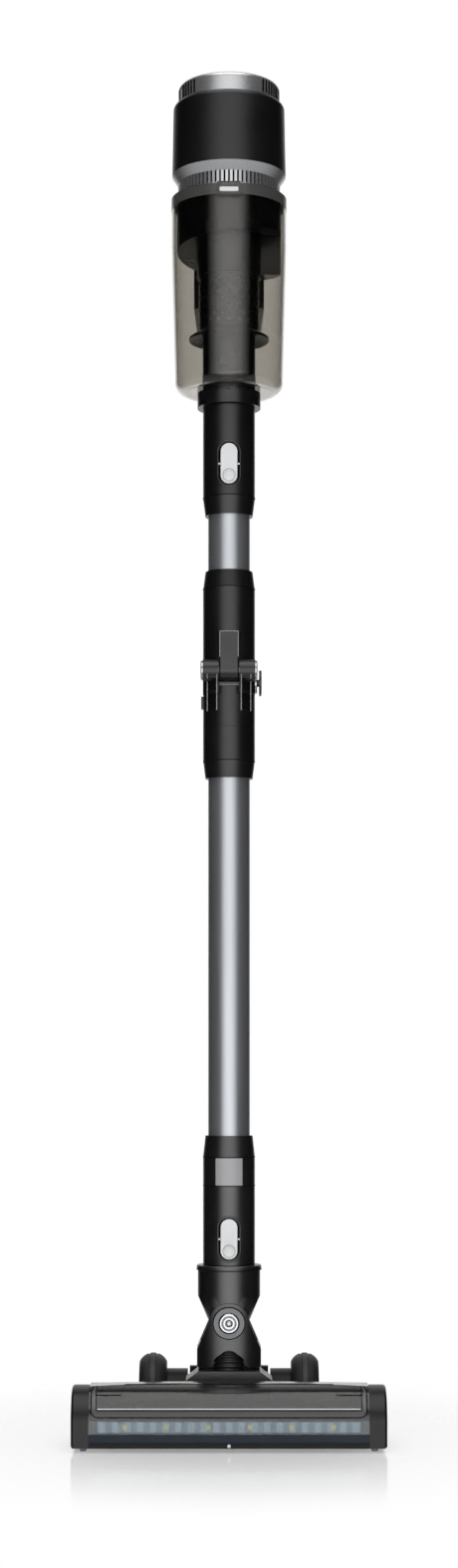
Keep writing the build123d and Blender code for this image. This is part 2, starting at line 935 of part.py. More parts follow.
def make_upper_collar():
    base = upper_collar_base
    top = upper_collar_top
    collar = turned(
        (0, base),
        (collar_nose, base),
        (collar_radius, base + upper_collar_taper),
        (collar_radius, top),
        (spigot_radius, top),
        (spigot_radius, top + spigot_length),
        (0, top + spigot_length),
    )
    air_bore = post(bore_radius, (base, top + spigot_length))
    seat = post(tube_radius + seat_gap, (base, base + upper_seat))
    keep("upper_collar", collar - [air_bore, seat, *button_cuts(upper_button_height)])
    make_button("upper_button", upper_button_height)


def make_tube(name, z_span):
    keep(name, post(tube_radius, z_span) - post(tube_radius - tube_wall, z_span))


make_lower_collar()
make_upper_collar()
make_tube("main_tube", (lower_collar_top - tube_seat + seat_gap, knee_base + tube_seat - seat_gap))
make_tube("upper_tube", (knee_top - tube_seat + seat_gap, upper_collar_base + upper_seat - seat_gap))


# Folding knee

parting = hinge_height + clevis_radius + moving_gap
knee_inner = knee_hose_radius + seat_gap
stem_hole_end = knee_inner + button_stem_skin
knee_button_height = hinge_height - knee_button_drop


def make_knee_lower():
    base = knee_base
    top = parting - moving_gap
    body = turned(
        (0, base),
        (collar_nose, base),
        (collar_radius, base + knee_step),
        (collar_radius, top),
        (0, top),
    )
    knuckle = rod_x(clevis_radius, (-collar_radius, collar_radius), hinge_place, hinge_height)
    root_heights = (hinge_height - 2 * clevis_radius, hinge_height)
    root = wide_block(2 * collar_radius, (hinge_place - clevis_radius, 0), root_heights)
    body = body + knuckle + (root & post(collar_radius + knee_recess_depth, (base, top)))
    tab_top = hinge_height - clevis_radius - side_tab_height
    tab = block(
        (-collar_radius - side_tab_rise, side_tab_half - collar_radius),
        (-side_tab_half, side_tab_half),
        (tab_top - side_tab_height, tab_top),
    )
    tongue_room = wide_block(
        tongue_width + 2 * moving_gap,
        (-2 * collar_radius, hinge_place + clevis_radius),
        (hinge_height - clevis_radius, top),
    )
    recess = wide_block(
        tongue_width,
        (-2 * collar_radius, knee_recess_depth - collar_radius),
        (hinge_height - knee_recess_height, top),
    )
    seat = post(tube_radius + seat_gap, (base, base + tube_seat))
    hose_room = post(knee_inner, (base + tube_seat, top))
    air_bore = post(tube_radius - tube_wall, (base, top))
    outside = 2 * collar_radius
    pin_hole = rod_x(knee_pin_radius + running_gap, (-outside, outside), hinge_place, hinge_height)
    head_room = rod_x(clevis_radius + moving_gap, (collar_radius, outside), hinge_place, hinge_height)
    stem_hole = rod_x(
        button_stem_radius + running_gap, (stem_hole_end, outside), knee_button_place, knee_button_height
    )
    body = body + tab - [tongue_room, recess, seat, hose_room, air_bore, pin_hole, stem_hole]
    keep("knee_lower_body", body - both_sides(head_room))


def make_knee_upper():
    top = knee_top
    body = turned(
        (0, parting),
        (collar_radius, parting),
        (collar_radius, top - knee_taper),
        (collar_nose, top),
        (0, top),
    )
    half = tongue_width / 2
    front = hinge_place - knuckle_radius
    knuckle = rod_x(knuckle_radius, (-half, half), hinge_place, hinge_height)
    tongue = wide_block(tongue_width, (front, front + 2 * knuckle_radius), (hinge_height, parting))
    rib = wide_block(tongue_width, (front, front + tongue_depth), (parting, hinge_height + tongue_rise))
    seat = post(tube_radius + seat_gap, (top - tube_seat, top))
    air_bore = post(tube_radius - tube_wall, (parting, top))
    pin_hole = rod_x(knee_pin_radius + seat_gap, (-half, half), hinge_place, hinge_height)
    hose_room = post(knee_inner, (hinge_height - clevis_radius, top - tube_seat))
    keep("knee_upper_body", body + knuckle + tongue + rib - [seat, air_bore, pin_hole, hose_room])


def make_knee_pin():
    outer = collar_radius + pin_head_width
    pin = rod_x(knee_pin_radius, (-collar_radius, collar_radius), hinge_place, hinge_height)
    head = rod_x(knuckle_radius, (collar_radius, outer), hinge_place, hinge_height)
    head = fillet(head.edges().group_by(Axis.X)[-1], pin_head_width / 2)
    keep("knee_pin", pin + both_sides(head))
    face = outer + knee_button_travel + moving_gap
    disc = rod_x(knee_button_radius, (face, face + knee_button_width), knee_button_place, knee_button_height)
    stem_start = stem_hole_end + knee_button_travel + moving_gap
    stem = rod_x(button_stem_radius, (stem_start, face), knee_button_place, knee_button_height)
    keep("knee_button", fillet(disc.edges().group_by(Axis.X)[-1], knee_button_round) + stem)


make_knee_lower()
make_knee_upper()
make_knee_pin()
knee_hose_span = (knee_base + tube_seat + seat_gap, knee_top - tube_seat - seat_gap)
keep(
    "knee_hose",
    ribbed_hose(knee_hose_radius, knee_hose_bore, knee_hose_groove, knee_hose_span, knee_hose_ribs, 0),
)


# Dust bin

def bin_solid(inset):
    base = bin_base + inset
    low = bin_low_radius - inset
    high = bin_radius - inset
    rim = bin_rim - inset
    bend = rim * math.sqrt(0.5)
    flat = low - rim
    edges = [
        Line((0, base), (flat, base)),
        ThreePointArc((flat, base), (flat + bend, base + rim - bend), (low, base + rim)),
        Line((low, base + rim), (high, bin_top - bin_straight)),
        Line((high, bin_top - bin_straight), (high, bin_top)),
        Line((high, bin_top), (0, bin_top)),
        Line((0, bin_top), (0, base)),
    ]
    return revolve(Plane.XZ * make_face(edges), axis=Axis.Z)


def make_bin():
    shell = bin_solid(0) - bin_solid(bin_wall)
    face = -bin_radius - frame_depth
    frame = wide_block(frame_width, (face, 0), (bin_top - frame_height, bin_top))
    frame = fillet(frame.edges().filter_by(Axis.Y), frame_round)
    shell = shell + (frame - post(bin_radius - bin_wall, (bin_base, bin_top)))
    middle = bin_top - latch_drop
    latch_front = face - latch_rise
    latch_back = latch_front + latch_depth
    half = latch_height / 2
    well = wide_block(
        latch_width + 2 * moving_gap,
        (face, latch_back + latch_travel + moving_gap),
        (middle - half - moving_gap, middle + half + moving_gap),
    )
    floor_hole = post(duct_radius + seat_gap, (bin_base, bin_base + 2 * bin_wall))
    keep("bin_shell", shell - well - floor_hole)
    latch = wide_block(latch_width, (latch_front, latch_back), (middle - half, middle + half))
    keep("bin_latch", fillet(latch.edges().filter_by(Axis.Y), latch_round))


def make_duct():
    top = bin_base + duct_height
    duct = turned(
        (0, ring_base),
        (neck_ring_radius, ring_base),
        (neck_ring_radius, bin_base - seat_gap),
        (duct_radius, bin_base - seat_gap),
        (duct_radius, top),
        (0, top),
    )
    seat_top = upper_collar_top + spigot_length + seat_gap
    seat = post(spigot_radius + running_gap, (ring_base, seat_top))
    air_bore = post(bore_radius, (ring_base, top - bin_wall))
    outlet = wide_block(duct_window, (0, 2 * duct_radius), (seat_top + bin_wall, top - 2 * bin_wall))
    keep("bin_inlet_duct", duct - [seat, air_bore, outlet])


make_bin()
make_duct()


# Separator, which hangs from the motor unit

drum_base = bin_base + separator_base
core_base = drum_base - ramp_drop - separator_ceiling
column_low = bin_base + column_base


def make_separator():
    drum = post(separator_radius, (drum_base, vent_base))
    core = post(ramp_inner, (core_base, drum_base))
    sections = []
    for step in range(ramp_steps + 1):
        share = step / ramp_steps
        low = drum_base - ramp_drop * (1 - share) - ramp_lip
        high = drum_base + ramp_sink
        inner = ramp_inner - ramp_sink
        points = [(inner, low), (separator_radius, low), (separator_radius, high), (inner, high)]
        plane = Plane.XZ.rotated((0, 0, share * ramp_sweep))
        sections.append(plane * make_face(Polyline(*points, close=True)))
    ramp = loft(sections, ruled=True)
    room = post(separator_bore, (core_base + separator_ceiling, vent_base))
    mouth = post(separator_bore - separator_lip, (core_base, vent_base))
    keep("cyclone_housing", drum + core + ramp - [room, mouth])
    low = core_base + separator_ceiling + seat_gap
    keep("pleated_filter", make_filter(low))


def make_filter(low):
    points = []
    for number in range(2 * filter_pleats):
        radius = filter_radius - (number % 2) * filter_pleat
        turn = math.pi * number / filter_pleats
        points.append((radius * math.cos(turn), radius * math.sin(turn)))
    pleats = extrude(make_face(Polyline(*points, close=True)), amount=filter_height)
    return Pos(0, 0, low) * pleats - post(filter_radius - 2 * filter_pleat, (low, low + filter_height))


def make_column():
    top = core_base - seat_gap
    column = post(column_radius, (column_low, top)) - post(column_radius - column_wall, (column_low, top))
    rows = (top - column_low) / (column_rows + 1)
    holes = []
    for row in range(column_rows):
        for number in range(column_holes_around):
            turn = (number + 0.5 * (row % 2)) * 360 / column_holes_around
            height = column_low + (row + 1) * rows
            rod = rod_y(column_hole, (column_radius - 2 * column_wall, 2 * column_radius), 0, height)
            holes.append(Rot(0, 0, turn) * rod)
    keep("perforated_column", column - holes)
    inner = duct_radius + 2 * moving_gap
    skirt = turned(
        (inner, column_low - seat_gap),
        (column_radius, column_low - seat_gap),
        (skirt_radius, column_low - skirt_drop),
        (skirt_radius, column_low - skirt_drop - skirt_thickness),
        (inner, column_low - seat_gap - skirt_thickness),
    )
    keep("separator_skirt", skirt)


make_separator()
make_column()


# Motor unit

def make_vent_ring():
    slot_low = vent_base + vent_lip
    slot_top = slot_low + vent_height
    inner = vent_radius - vent_wall
    ring = turned(
        (inner, vent_base),
        (vent_radius, vent_base),
        (vent_radius, slot_top),
        (housing_low_radius, vent_top),
        (housing_low_radius - housing_wall, vent_top),
        (inner, slot_top),
    )
    slots = []
    slot_reach = (vent_radius - 2 * vent_wall, 2 * vent_radius)
    for number in range(vent_slots):
        slot = wide_block(vent_slot_width, slot_reach, (slot_low, slot_top))
        slots.append(Rot(0, 0, number * 360 / vent_slots) * slot)
    keep("vent_ring", ring - slots)


def housing_solid(inset):
    base = vent_top + seat_gap
    low = housing_low_radius - inset
    high = housing_top_radius - inset
    top = housing_top - inset
    bend = housing_round * (1 - math.sqrt(0.5))
    edges = [
        Line((0, base), (low, base)),
        Line((low, base), (high, top - housing_round)),
        ThreePointArc((high, top - housing_round), (high - bend, top - bend), (high - housing_round, top)),
        Line((high - housing_round, top), (0, top)),
        Line((0, top), (0, base)),
    ]
    return revolve(Plane.XZ * make_face(edges), axis=Axis.Z)


def make_motor_housing():
    pad = wide_block(handle_width, (0, handle_start - seat_gap), (pad_base, pad_base + pad_height))
    top_hole = post(cap_radius - cap_round - cap_wall, (housing_top - 2 * housing_wall, housing_top))
    keep("motor_housing", housing_solid(0) + pad - housing_solid(housing_wall) - top_hole)


def make_top_cap():
    cap = post(cap_radius, (housing_top, total_height))
    cap = fillet(cap.edges().group_by(Axis.Z)[-1], cap_round)
    room = post(cap_radius - cap_wall, (housing_top, total_height - cap_round))
    slot_low = housing_top + (cap_height - cap_round - cap_slot_height) / 2
    slots = []
    for number in range(cap_slots):
        y = (number - (cap_slots - 1) / 2) * cap_slot_pitch
        slots.append(
            wide_block(
                3 * cap_radius,
                (y - cap_slot_width / 2, y + cap_slot_width / 2),
                (slot_low, slot_low + cap_slot_height),
            )
        )
    keep("top_cap", cap - room - slots)


def make_fan():
    impeller_base = vent_top + impeller_rise
    impeller_top = impeller_base + impeller_height
    motor_base = impeller_top + fan_motor_rise
    flange_low = motor_base + fan_flange_width
    taper = (housing_low_radius - housing_top_radius) / housing_height
    flange_top = flange_low + fan_flange_width
    flange_radius = housing_low_radius - housing_wall - taper * (flange_top - vent_top) - seat_gap
    motor = post(fan_motor_radius, (motor_base, motor_base + fan_motor_length))
    flange = post(flange_radius, (flange_low, flange_top))
    shaft = post(fan_shaft_radius, (impeller_base, motor_base))
    keep("suction_motor", motor + flange + shaft)
    plate = post(impeller_radius, (impeller_top - blade_thickness, impeller_top))
    hub = post(impeller_hub, (impeller_base, impeller_top))
    blades = []
    for number in range(impeller_blades):
        blade = block(
            ((impeller_hub + fan_shaft_radius) / 2, impeller_radius - blade_inset),
            (-blade_thickness / 2, blade_thickness / 2),
            (impeller_base, impeller_top),
        )
        blades.append(Rot(0, 0, number * 360 / impeller_blades) * blade)
    bore = post(fan_shaft_radius + running_gap, (impeller_base, impeller_top))
    keep("impeller", plate + hub + blades - bore)


make_vent_ring()
make_motor_housing()
make_top_cap()
make_fan()


# Handle

handle_top = housing_top - handle_drop
finger_top = handle_top - bridge_height
finger_low = finger_top - finger_height
dock_base = finger_low - dock_thickness
trigger_middle = finger_top - trigger_height / 2 - trigger_drop
grip_inner = handle_width / 2 - handle_wall


def handle_outer():
    corner = (handle_back - handle_corner, handle_top)
    bend = handle_corner * (1 - math.sqrt(0.5))
    edges = [
        Line((handle_start, pad_base), (handle_start, handle_top)),
        Line((handle_start, handle_top), corner),
        ThreePointArc(
            corner,
            (handle_back - bend, handle_top - bend),
            (handle_back, handle_top - handle_corner),
        ),
        Line((handle_back, handle_top - handle_corner), (handle_back, dock_base)),
        Line((handle_back, dock_base), (dock_front, dock_base)),
        Line((dock_front, dock_base), (dock_front, pad_base)),
        Line((dock_front, pad_base), (handle_start, pad_base)),
    ]
    return make_face(edges)


def finger_hole(grow):
    width = finger_back - finger_front + 2 * grow
    middle = ((finger_front + finger_back) / 2, (finger_low + finger_top) / 2)
    return Pos(*middle) * RectangleRounded(width, finger_height + 2 * grow, finger_corner + grow)


def handle_screw_places():
    low = finger_low + boss_rise
    return [
        ((dock_front + finger_front) / 2, low),
        ((finger_back + handle_back) / 2, low),
        ((finger_front + finger_back) / 2, (finger_top + handle_top) / 2),
    ]


def make_handle():
    half = handle_width / 2
    loop = side_slab(handle_outer() - finger_hole(0), (0, half))
    rim = loop.faces().sort_by(Axis.X)[-1].edges()
    loop = fillet(rim, handle_round / 2)
    room_view = offset(handle_outer(), amount=-handle_wall) - finger_hole(handle_wall)
    room = side_slab(room_view, (0, grip_inner))
    room = room & block((0, half), (handle_start, handle_back), (finger_low, handle_top))
    bosses = [rod_x(boss_radius, (0, grip_inner), y, z) for y, z in handle_screw_places()]
    dock = block((0, battery_width / 2), (dock_front, handle_back), (dock_base, finger_low))
    dock = fillet(dock.edges().filter_by(Axis.Z).group_by(Axis.X)[-1], battery_round)
    side = loop - room + bosses + dock - rail_slot() - trigger_hole()
    through = []
    pilot = []
    for y, z in handle_screw_places():
        through.append(rod_x(screw_radius + seat_gap, (0, half), y, z))
        through.append(rod_x(screw_head_radius + seat_gap, (half - screw_head_height, half), y, z))
        pilot.append(rod_x(screw_radius + seat_gap, (half - screw_length - seat_gap, 0), y, z))
    keep("handle_right", side - through)
    keep("handle_left", mirror(side, about=Plane.YZ) - pilot)
    screws = []
    for y, z in handle_screw_places():
        shank = rod_x(screw_radius, (half - screw_length, half), y, z)
        screws.append(shank + rod_x(screw_head_radius, (half - screw_head_height, half), y, z))
    keep("handle_screws", *screws)


def rail_slot():
    start = dock_front + battery_wall
    neck = wide_block(rail_neck + 2 * moving_gap, (start, handle_back), (dock_base, dock_base + rail_step))
    head = wide_block(
        rail_head + 2 * moving_gap, (start, handle_back), (dock_base + rail_step, dock_base + rail_height)
    )
    return neck + head


def trigger_hole():
    half = trigger_height / 2 + moving_gap
    return wide_block(
        trigger_width + 2 * moving_gap,
        (finger_back - handle_wall, finger_back + handle_wall),
        (trigger_middle - half, trigger_middle + half),
    )


def make_trigger():
    half = trigger_height / 2
    front = finger_back - trigger_reach
    stop = finger_back + handle_wall + moving_gap
    body = wide_block(trigger_width, (front, stop), (trigger_middle - half, trigger_middle + half))
    body = fillet(body.edges().group_by(Axis.Y)[0], trigger_reach / 2)
    back = wide_block(
        trigger_width + 2 * handle_wall,
        (stop, finger_back + trigger_depth),
        (trigger_middle - half - handle_wall, trigger_middle + half + handle_wall),
    )
    keep("trigger", body + back)


def make_battery():
    top = dock_base - moving_gap
    low = top - battery_height
    case = wide_block(battery_width, (dock_front, handle_back), (low, top))
    case = fillet(case.edges().filter_by(Axis.Z), battery_round)
    room_front = dock_front + battery_wall
    room = wide_block(
        battery_width - 2 * battery_wall,
        (room_front, handle_back - battery_wall),
        (low + battery_wall, top - battery_wall),
    )
    jack_height = low + battery_height / 2
    boss = rod_y(jack_radius + battery_wall, (handle_back - jack_depth, handle_back), 0, jack_height)
    jack = rod_y(jack_radius, (handle_back - jack_depth, handle_back), 0, jack_height)
    start = dock_front + battery_wall + moving_gap
    neck_top = dock_base + rail_step + moving_gap
    neck = wide_block(rail_neck, (start, handle_back), (top, neck_top))
    head = wide_block(rail_head, (start, handle_back), (neck_top, dock_base + rail_height - moving_gap))
    keep("battery_case", case - room + boss + neck + head - jack)
    cells = []
    cell_front = room_front + seat_gap
    pitch = 2 * cell_radius + seat_gap
    for layer in range(cell_layers):
        for number in range(cells_across):
            x = (number - (cells_across - 1) / 2) * pitch
            z = low + battery_wall + seat_gap + cell_radius + layer * pitch
            cells.append(rod_y(cell_radius, (cell_front, cell_front + cell_length), x, z))
    keep("battery_cells", *cells)


make_handle()
make_trigger()
make_battery()


os.makedirs("parts", exist_ok=True)
for name, pieces in nodes.items():
    moved = [Pos(0, axis_shift, 0) * piece for piece in pieces]
    export_step(moved[0] if len(moved) == 1 else Compound(children=moved), "parts/" + name + ".step")
print("total height", total_height, "shift of the wand axis", axis_shift)
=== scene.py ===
import bpy
import bmesh
import math
from functools import partial
from mathutils import Matrix, Vector
from mathutils.bvhtree import BVHTree


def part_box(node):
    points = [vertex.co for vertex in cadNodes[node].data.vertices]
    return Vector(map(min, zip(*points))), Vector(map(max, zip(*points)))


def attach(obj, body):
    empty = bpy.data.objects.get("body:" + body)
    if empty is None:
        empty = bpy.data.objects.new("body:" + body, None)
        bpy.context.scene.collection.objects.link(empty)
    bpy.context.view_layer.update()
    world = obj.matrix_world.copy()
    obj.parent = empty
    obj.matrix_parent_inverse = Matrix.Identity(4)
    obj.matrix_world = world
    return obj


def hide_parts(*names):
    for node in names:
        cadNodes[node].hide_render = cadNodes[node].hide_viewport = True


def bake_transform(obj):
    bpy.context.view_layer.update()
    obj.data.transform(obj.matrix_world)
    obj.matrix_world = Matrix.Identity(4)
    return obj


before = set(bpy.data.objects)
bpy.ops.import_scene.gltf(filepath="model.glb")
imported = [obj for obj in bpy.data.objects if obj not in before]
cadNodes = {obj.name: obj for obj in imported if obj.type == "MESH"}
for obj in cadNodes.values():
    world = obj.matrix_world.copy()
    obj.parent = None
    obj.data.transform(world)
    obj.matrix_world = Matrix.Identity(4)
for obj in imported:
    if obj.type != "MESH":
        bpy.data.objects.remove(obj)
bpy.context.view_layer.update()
mm = 0.001
weldMm = 0.001  # points this close are one
print("frame loaded:", len(cadNodes), "nodes")


# materials

looks = {}


def toLinear(hexColour):
    channels = [int(hexColour[i:i + 2], 16) / 255 for i in (1, 3, 5)]
    linear = [c / 12.92 if c <= 0.04045 else ((c + 0.055) / 1.055) ** 2.4 for c in channels]
    return (*linear, 1.0)


def addNode(tree, kind, inputs=(), **settings):
    # kind goes without its prefix; inputs go by name or in order, and each takes a plain value,
    # a node for its first output, another output socket or a list of these
    prefixes = ("ShaderNode", "GeometryNode", "FunctionNode", "Node")
    node = tree.nodes.new(next(p + kind for p in prefixes if hasattr(bpy.types, p + kind)))
    for key, value in settings.items():
        setattr(node, key, value)
    for key, value in inputs.items() if isinstance(inputs, dict) else enumerate(inputs):
        for part in value if isinstance(value, list) else [value]:
            if isinstance(part, bpy.types.Node):
                part = part.outputs[0]
            if isinstance(part, bpy.types.NodeSocket):
                tree.links.new(part, node.inputs[key])
            else:
                node.inputs[key].default_value = part
    return node


def startMaterial(name):
    material = bpy.data.materials.new(name)
    material.use_nodes = True
    material.node_tree.nodes.clear()
    looks[name] = material
    add = partial(addNode, material.node_tree)
    return add, add("TexCoord").outputs["Object"]


def unevenRoughness(add, place, patchMm, low, high):
    # patches of slightly different gloss, as a moulded surface has
    patches = add("TexNoise", {"Vector": place, "Scale": 1 / (patchMm * mm), "Detail": 3.0})
    return add("MapRange", {
        "Value": patches, "From Min": 0.3, "From Max": 0.7, "To Min": low, "To Max": high})


def mouldedPlastic(name, look):
    # plastic from a spark-eroded mould: a fine even grain that softens the gloss
    add, place = startMaterial(name)
    look = {**plainAbs, **look}
    rough = unevenRoughness(add, place, look["patchMm"], look["rough"] - 0.04, look["rough"] + 0.04)
    grain = add("TexNoise", {  # coarser than a real 0.15 mm grain, to show
        "Vector": place, "Scale": 1 / (look["grainMm"] * mm), "Detail": 2.0, "Roughness": 0.6})
    bump = add("Bump", {"Height": grain, "Strength": 0.5, "Distance": look["depthMm"] * mm})
    shader = add("BsdfPrincipled", {
        "Base Color": toLinear(look["colour"]), "IOR": 1.53, "Specular IOR Level": look["specular"],
        "Roughness": rough, "Normal": bump})
    add("OutputMaterial", {"Surface": shader})


plainAbs = {"rough": 0.34, "specular": 0.5, "grainMm": 0.8, "depthMm": 0.03, "patchMm": 25}
plasticLooks = {  # each look says how it differs from plainAbs
    # black from polished moulds: deep, with a clear highlight
    "glossBlackAbs": {"colour": "#0d0d0e", "grainMm": 1.0},
    "polishedBlackAbs": {"colour": "#0e0f11", "rough": 0.30, "grainMm": 1.0, "depthMm": 0.004, "patchMm": 30},
    # neckBlackAbs is the same black with a stronger highlight: painted highlight for the brighter light on
    # the neck and the lower collar
    "neckBlackAbs": {"colour": "#0e0e0f", "specular": 0.9, "grainMm": 0.9},
    # black from etched moulds: a wide, dull highlight
    "satinBlackAbs": {"colour": "#0c0c0d", "rough": 0.36, "grainMm": 0.9, "patchMm": 30},
    # lowBlackAbs and endBlackAbs are the same black with a weaker highlight: painted shade on the head's lip,
    # sole and end caps
    "lowBlackAbs": {"colour": "#0a0a0b", "rough": 0.38, "specular": 0.16, "grainMm": 1.0},
    "endBlackAbs": {"colour": "#0c0c0d", "specular": 0.3, "grainMm": 1.0},
    # matt black with no highlight: painted shade in gaps, slots and recesses, and dark joint lines along the
    # seams
    "mattBlackSeal": {"colour": "#040404", "rough": 0.8, "specular": 0.1, "depthMm": 0.02, "patchMm": 12},
    # greys coloured in the mass: an even sheen
    "plateGreyAbs": {"colour": "#929294", "rough": 0.32, "grainMm": 0.9, "depthMm": 0.01, "patchMm": 20},
    "lightGreyAbs": {"colour": "#cbcdce", "rough": 0.38, "depthMm": 0.02, "patchMm": 15},
    "ringGreyAbs": {"colour": "#66676a", "rough": 0.40, "depthMm": 0.02, "patchMm": 15},
    # midGreyAbs: painted highlight lines along the knee's edges, and a painted shade ring round each button's
    # dimple
    "midGreyAbs": {"colour": "#85868a", "rough": 0.40, "depthMm": 0.02, "patchMm": 15},
    "frameGreyAbs": {"colour": "#38393b", "rough": 0.32, "specular": 0.6, "grainMm": 0.9, "depthMm": 0.01,
                     "patchMm": 20},
    "castorGreyNylon": {"colour": "#77797b", "rough": 0.45, "grainMm": 0.7, "patchMm": 10},
    # rubbers and soft mouldings: a broad dull sheen
    "darkBlueGreyTpe": {"colour": "#151f2b", "rough": 0.45, "specular": 0.2, "grainMm": 1.0, "depthMm": 0.04,
                        "patchMm": 20},
    "softRubberTyre": {"colour": "#18181a", "rough": 0.55, "depthMm": 0.06, "patchMm": 12},
    "ribbedElastomer": {"colour": "#1c1c1d", "rough": 0.45, "patchMm": 12},
    # drawn filaments, cast phosphor, folded paper and shrunk film: fine, matt or smooth as each is made
    "nylonBristle": {"colour": "#2a2b30", "rough": 0.50, "grainMm": 0.6, "patchMm": 10},
    "phosphorChip": {"colour": "#cdc356", "rough": 0.45, "grainMm": 0.5, "depthMm": 0.02, "patchMm": 4},
    "pleatedPaper": {"colour": "#e4e1d8", "rough": 0.85, "grainMm": 0.7, "depthMm": 0.08, "patchMm": 8},
    "cellSleeve": {"colour": "#3b6d91", "rough": 0.35, "depthMm": 0.01, "patchMm": 15},
}


def drawnMetal(name, look):
    # metal drawn or turned along one direction: fine lines run that way and stretch the highlight
    add, place = startMaterial(name)
    stretched = add("Mapping", {"Vector": place, "Scale": look["stretch"]})
    lines = add("TexNoise", {"Vector": stretched, "Scale": 1 / (look["lineMm"] * mm), "Detail": 3.0})
    rough = add("MapRange", {
        "Value": lines, "From Min": 0.25, "From Max": 0.75, "To Min": look["rough"] - 0.05,
        "To Max": look["rough"] + 0.05})
    bump = add("Bump", {"Height": lines, "Strength": look["strength"], "Distance": 0.02 * mm})
    shader = add("BsdfPrincipled", {
        "Base Color": toLinear(look["colour"]), "Metallic": look["metallic"], "Roughness": rough,
        "Normal": bump})
    add("OutputMaterial", {"Surface": shader})


metalLooks = {
    # anodised tube: matt silver with faint drawing lines along the wand
    "anodisedAluminium": {"colour": "#abaeb2", "metallic": 0.85, "rough": 0.36, "lineMm": 1.2,
                          "stretch": (1, 1, 0.02), "strength": 0.15},
    # lacquered plastic: an even silver with a fine flake
    "silverLacquer": {"colour": "#bfc0c2", "metallic": 0.85, "rough": 0.30, "lineMm": 0.9,
                      "stretch": (1, 1, 1), "strength": 0.2},
    # chromed cap: bright, its highlight broken up by the turned rings
    "turnedCap": {"colour": "#b2b4b6", "metallic": 1.0, "rough": 0.26, "lineMm": 0.8,
                  "stretch": (1, 1, 1), "strength": 0.1},
    # turned steel: a bright line across the turning marks
    "turnedSteel": {"colour": "#a9abad", "metallic": 1.0, "rough": 0.28, "lineMm": 0.8,
                    "stretch": (0.1, 1, 1), "strength": 0.15},
    # cast can: grey and slightly pitted
    "castMotorCan": {"colour": "#8d9094", "metallic": 1.0, "rough": 0.45, "lineMm": 1.5,
                     "stretch": (1, 1, 1), "strength": 0.4},
}


def clearMoulding(name, look):
    # polycarbonate tinted in the mass: see-through with a hard gloss, milky where the clear share is under 1
    add, place = startMaterial(name)
    rough = unevenRoughness(add, place, look["patchMm"], look["rough"], look["rough"] + 0.03)
    shader = add("BsdfPrincipled", {
        "Base Color": toLinear(look["colour"]), "IOR": 1.45, "Transmission Weight": look["clear"],
        "Specular IOR Level": look["specular"], "Roughness": rough})
    add("OutputMaterial", {"Surface": shader})


clearLooks = {
    "smokyPolycarbonate": {"colour": "#c8c5bf", "clear": 1.0, "specular": 0.5, "rough": 0.03, "patchMm": 20},
    "smokyWindow": {"colour": "#8d8c89", "clear": 0.95, "specular": 0.9, "rough": 0.08, "patchMm": 15},
    "milkyRim": {"colour": "#767573", "clear": 0.7, "specular": 0.6, "rough": 0.22, "patchMm": 15},
    "frostedLens": {"colour": "#d9e2e8", "clear": 0.97, "specular": 0.4, "rough": 0.01, "patchMm": 10},
}


def solderMask(name, look):
    # solder mask over copper: pale cells with blue-grey tracks between them, a soft gloss
    add, place = startMaterial(name)
    cell = look["cellMm"] * mm
    low, high = look["edges"]
    along = add("SeparateXYZ", {"Vector": place}).outputs["X"]
    cells = add("Math", (along, cell), operation="PINGPONG")
    share = add("MapRange", {"Value": cells, "From Min": low * cell, "From Max": high * cell})
    patches = add("TexNoise", {"Vector": place, "Scale": 1 / (look["patchMm"] * mm)})
    uneven = add("Math", (share, patches), operation="MULTIPLY")
    colour = add("Mix", {
        "Factor": uneven, "A": toLinear(look["mask"]), "B": toLinear(look["track"])}, data_type="RGBA")
    shader = add("BsdfPrincipled", {
        "Base Color": colour.outputs["Result"], "IOR": 1.5, "Roughness": look["rough"]})
    add("OutputMaterial", {"Surface": shader})


boardLooks = {
    "solderMaskBoard": {"mask": "#93a5ae", "track": "#34434d", "cellMm": 5.0, "edges": (0.42, 0.58),
                        "patchMm": 9.0, "rough": 0.4},
}
for makeLook, family in ((mouldedPlastic, plasticLooks), (drawnMetal, metalLooks),
                         (clearMoulding, clearLooks), (solderMask, boardLooks)):
    for lookName, lookValues in family.items():
        makeLook(lookName, lookValues)
print("materials ready:", len(looks))


# finish of the pieces that keep their solid

finishes = {
    "lowBlackAbs": "head_chassis sole_plate",
    "endBlackAbs": "left_end_cap right_end_cap",
    "glossBlackAbs": "head_top_cover upper_collar knee_lower_body knee_upper_body knee_button",
    "neckBlackAbs": "lower_collar",
    "polishedBlackAbs": "cyclone_housing perforated_column separator_skirt bin_inlet_duct",
    "satinBlackAbs": "motor_housing handle_left handle_right battery_case suction_elbow brush_pulley "
                     "motor_pulley impeller trigger brush_core",
    "lightGreyAbs": "bin_latch",
    "plateGreyAbs": "collar_plate",
    "ringGreyAbs": "pivot_rings",
    "darkBlueGreyTpe": "bumper_strip",
    "softRubberTyre": "drive_belt",
    "castorGreyNylon": "front_castor_left front_castor_right",
    "phosphorChip": "led_chips",
    "solderMaskBoard": "led_board",
    "pleatedPaper": "pleated_filter",
    "cellSleeve": "battery_cells",
    "anodisedAluminium": "main_tube upper_tube",
    "silverLacquer": "top_cap vent_ring",
    "turnedSteel": "brush_bearings wheel_axles pitch_pins knee_pin",
    "castMotorCan": "suction_motor brush_motor",
    "smokyPolycarbonate": "bin_shell",
    "smokyWindow": "brush_window",
    "frostedLens": "led_lens",
}
for look, nodes in finishes.items():
    for node in nodes.split():
        coats = cadNodes[node].data.materials
        coats.clear()
        coats.append(looks[look])
print("solids painted")


# places and pieces

def nodeCentre(name):
    low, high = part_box(name)
    return (low + high) / 2


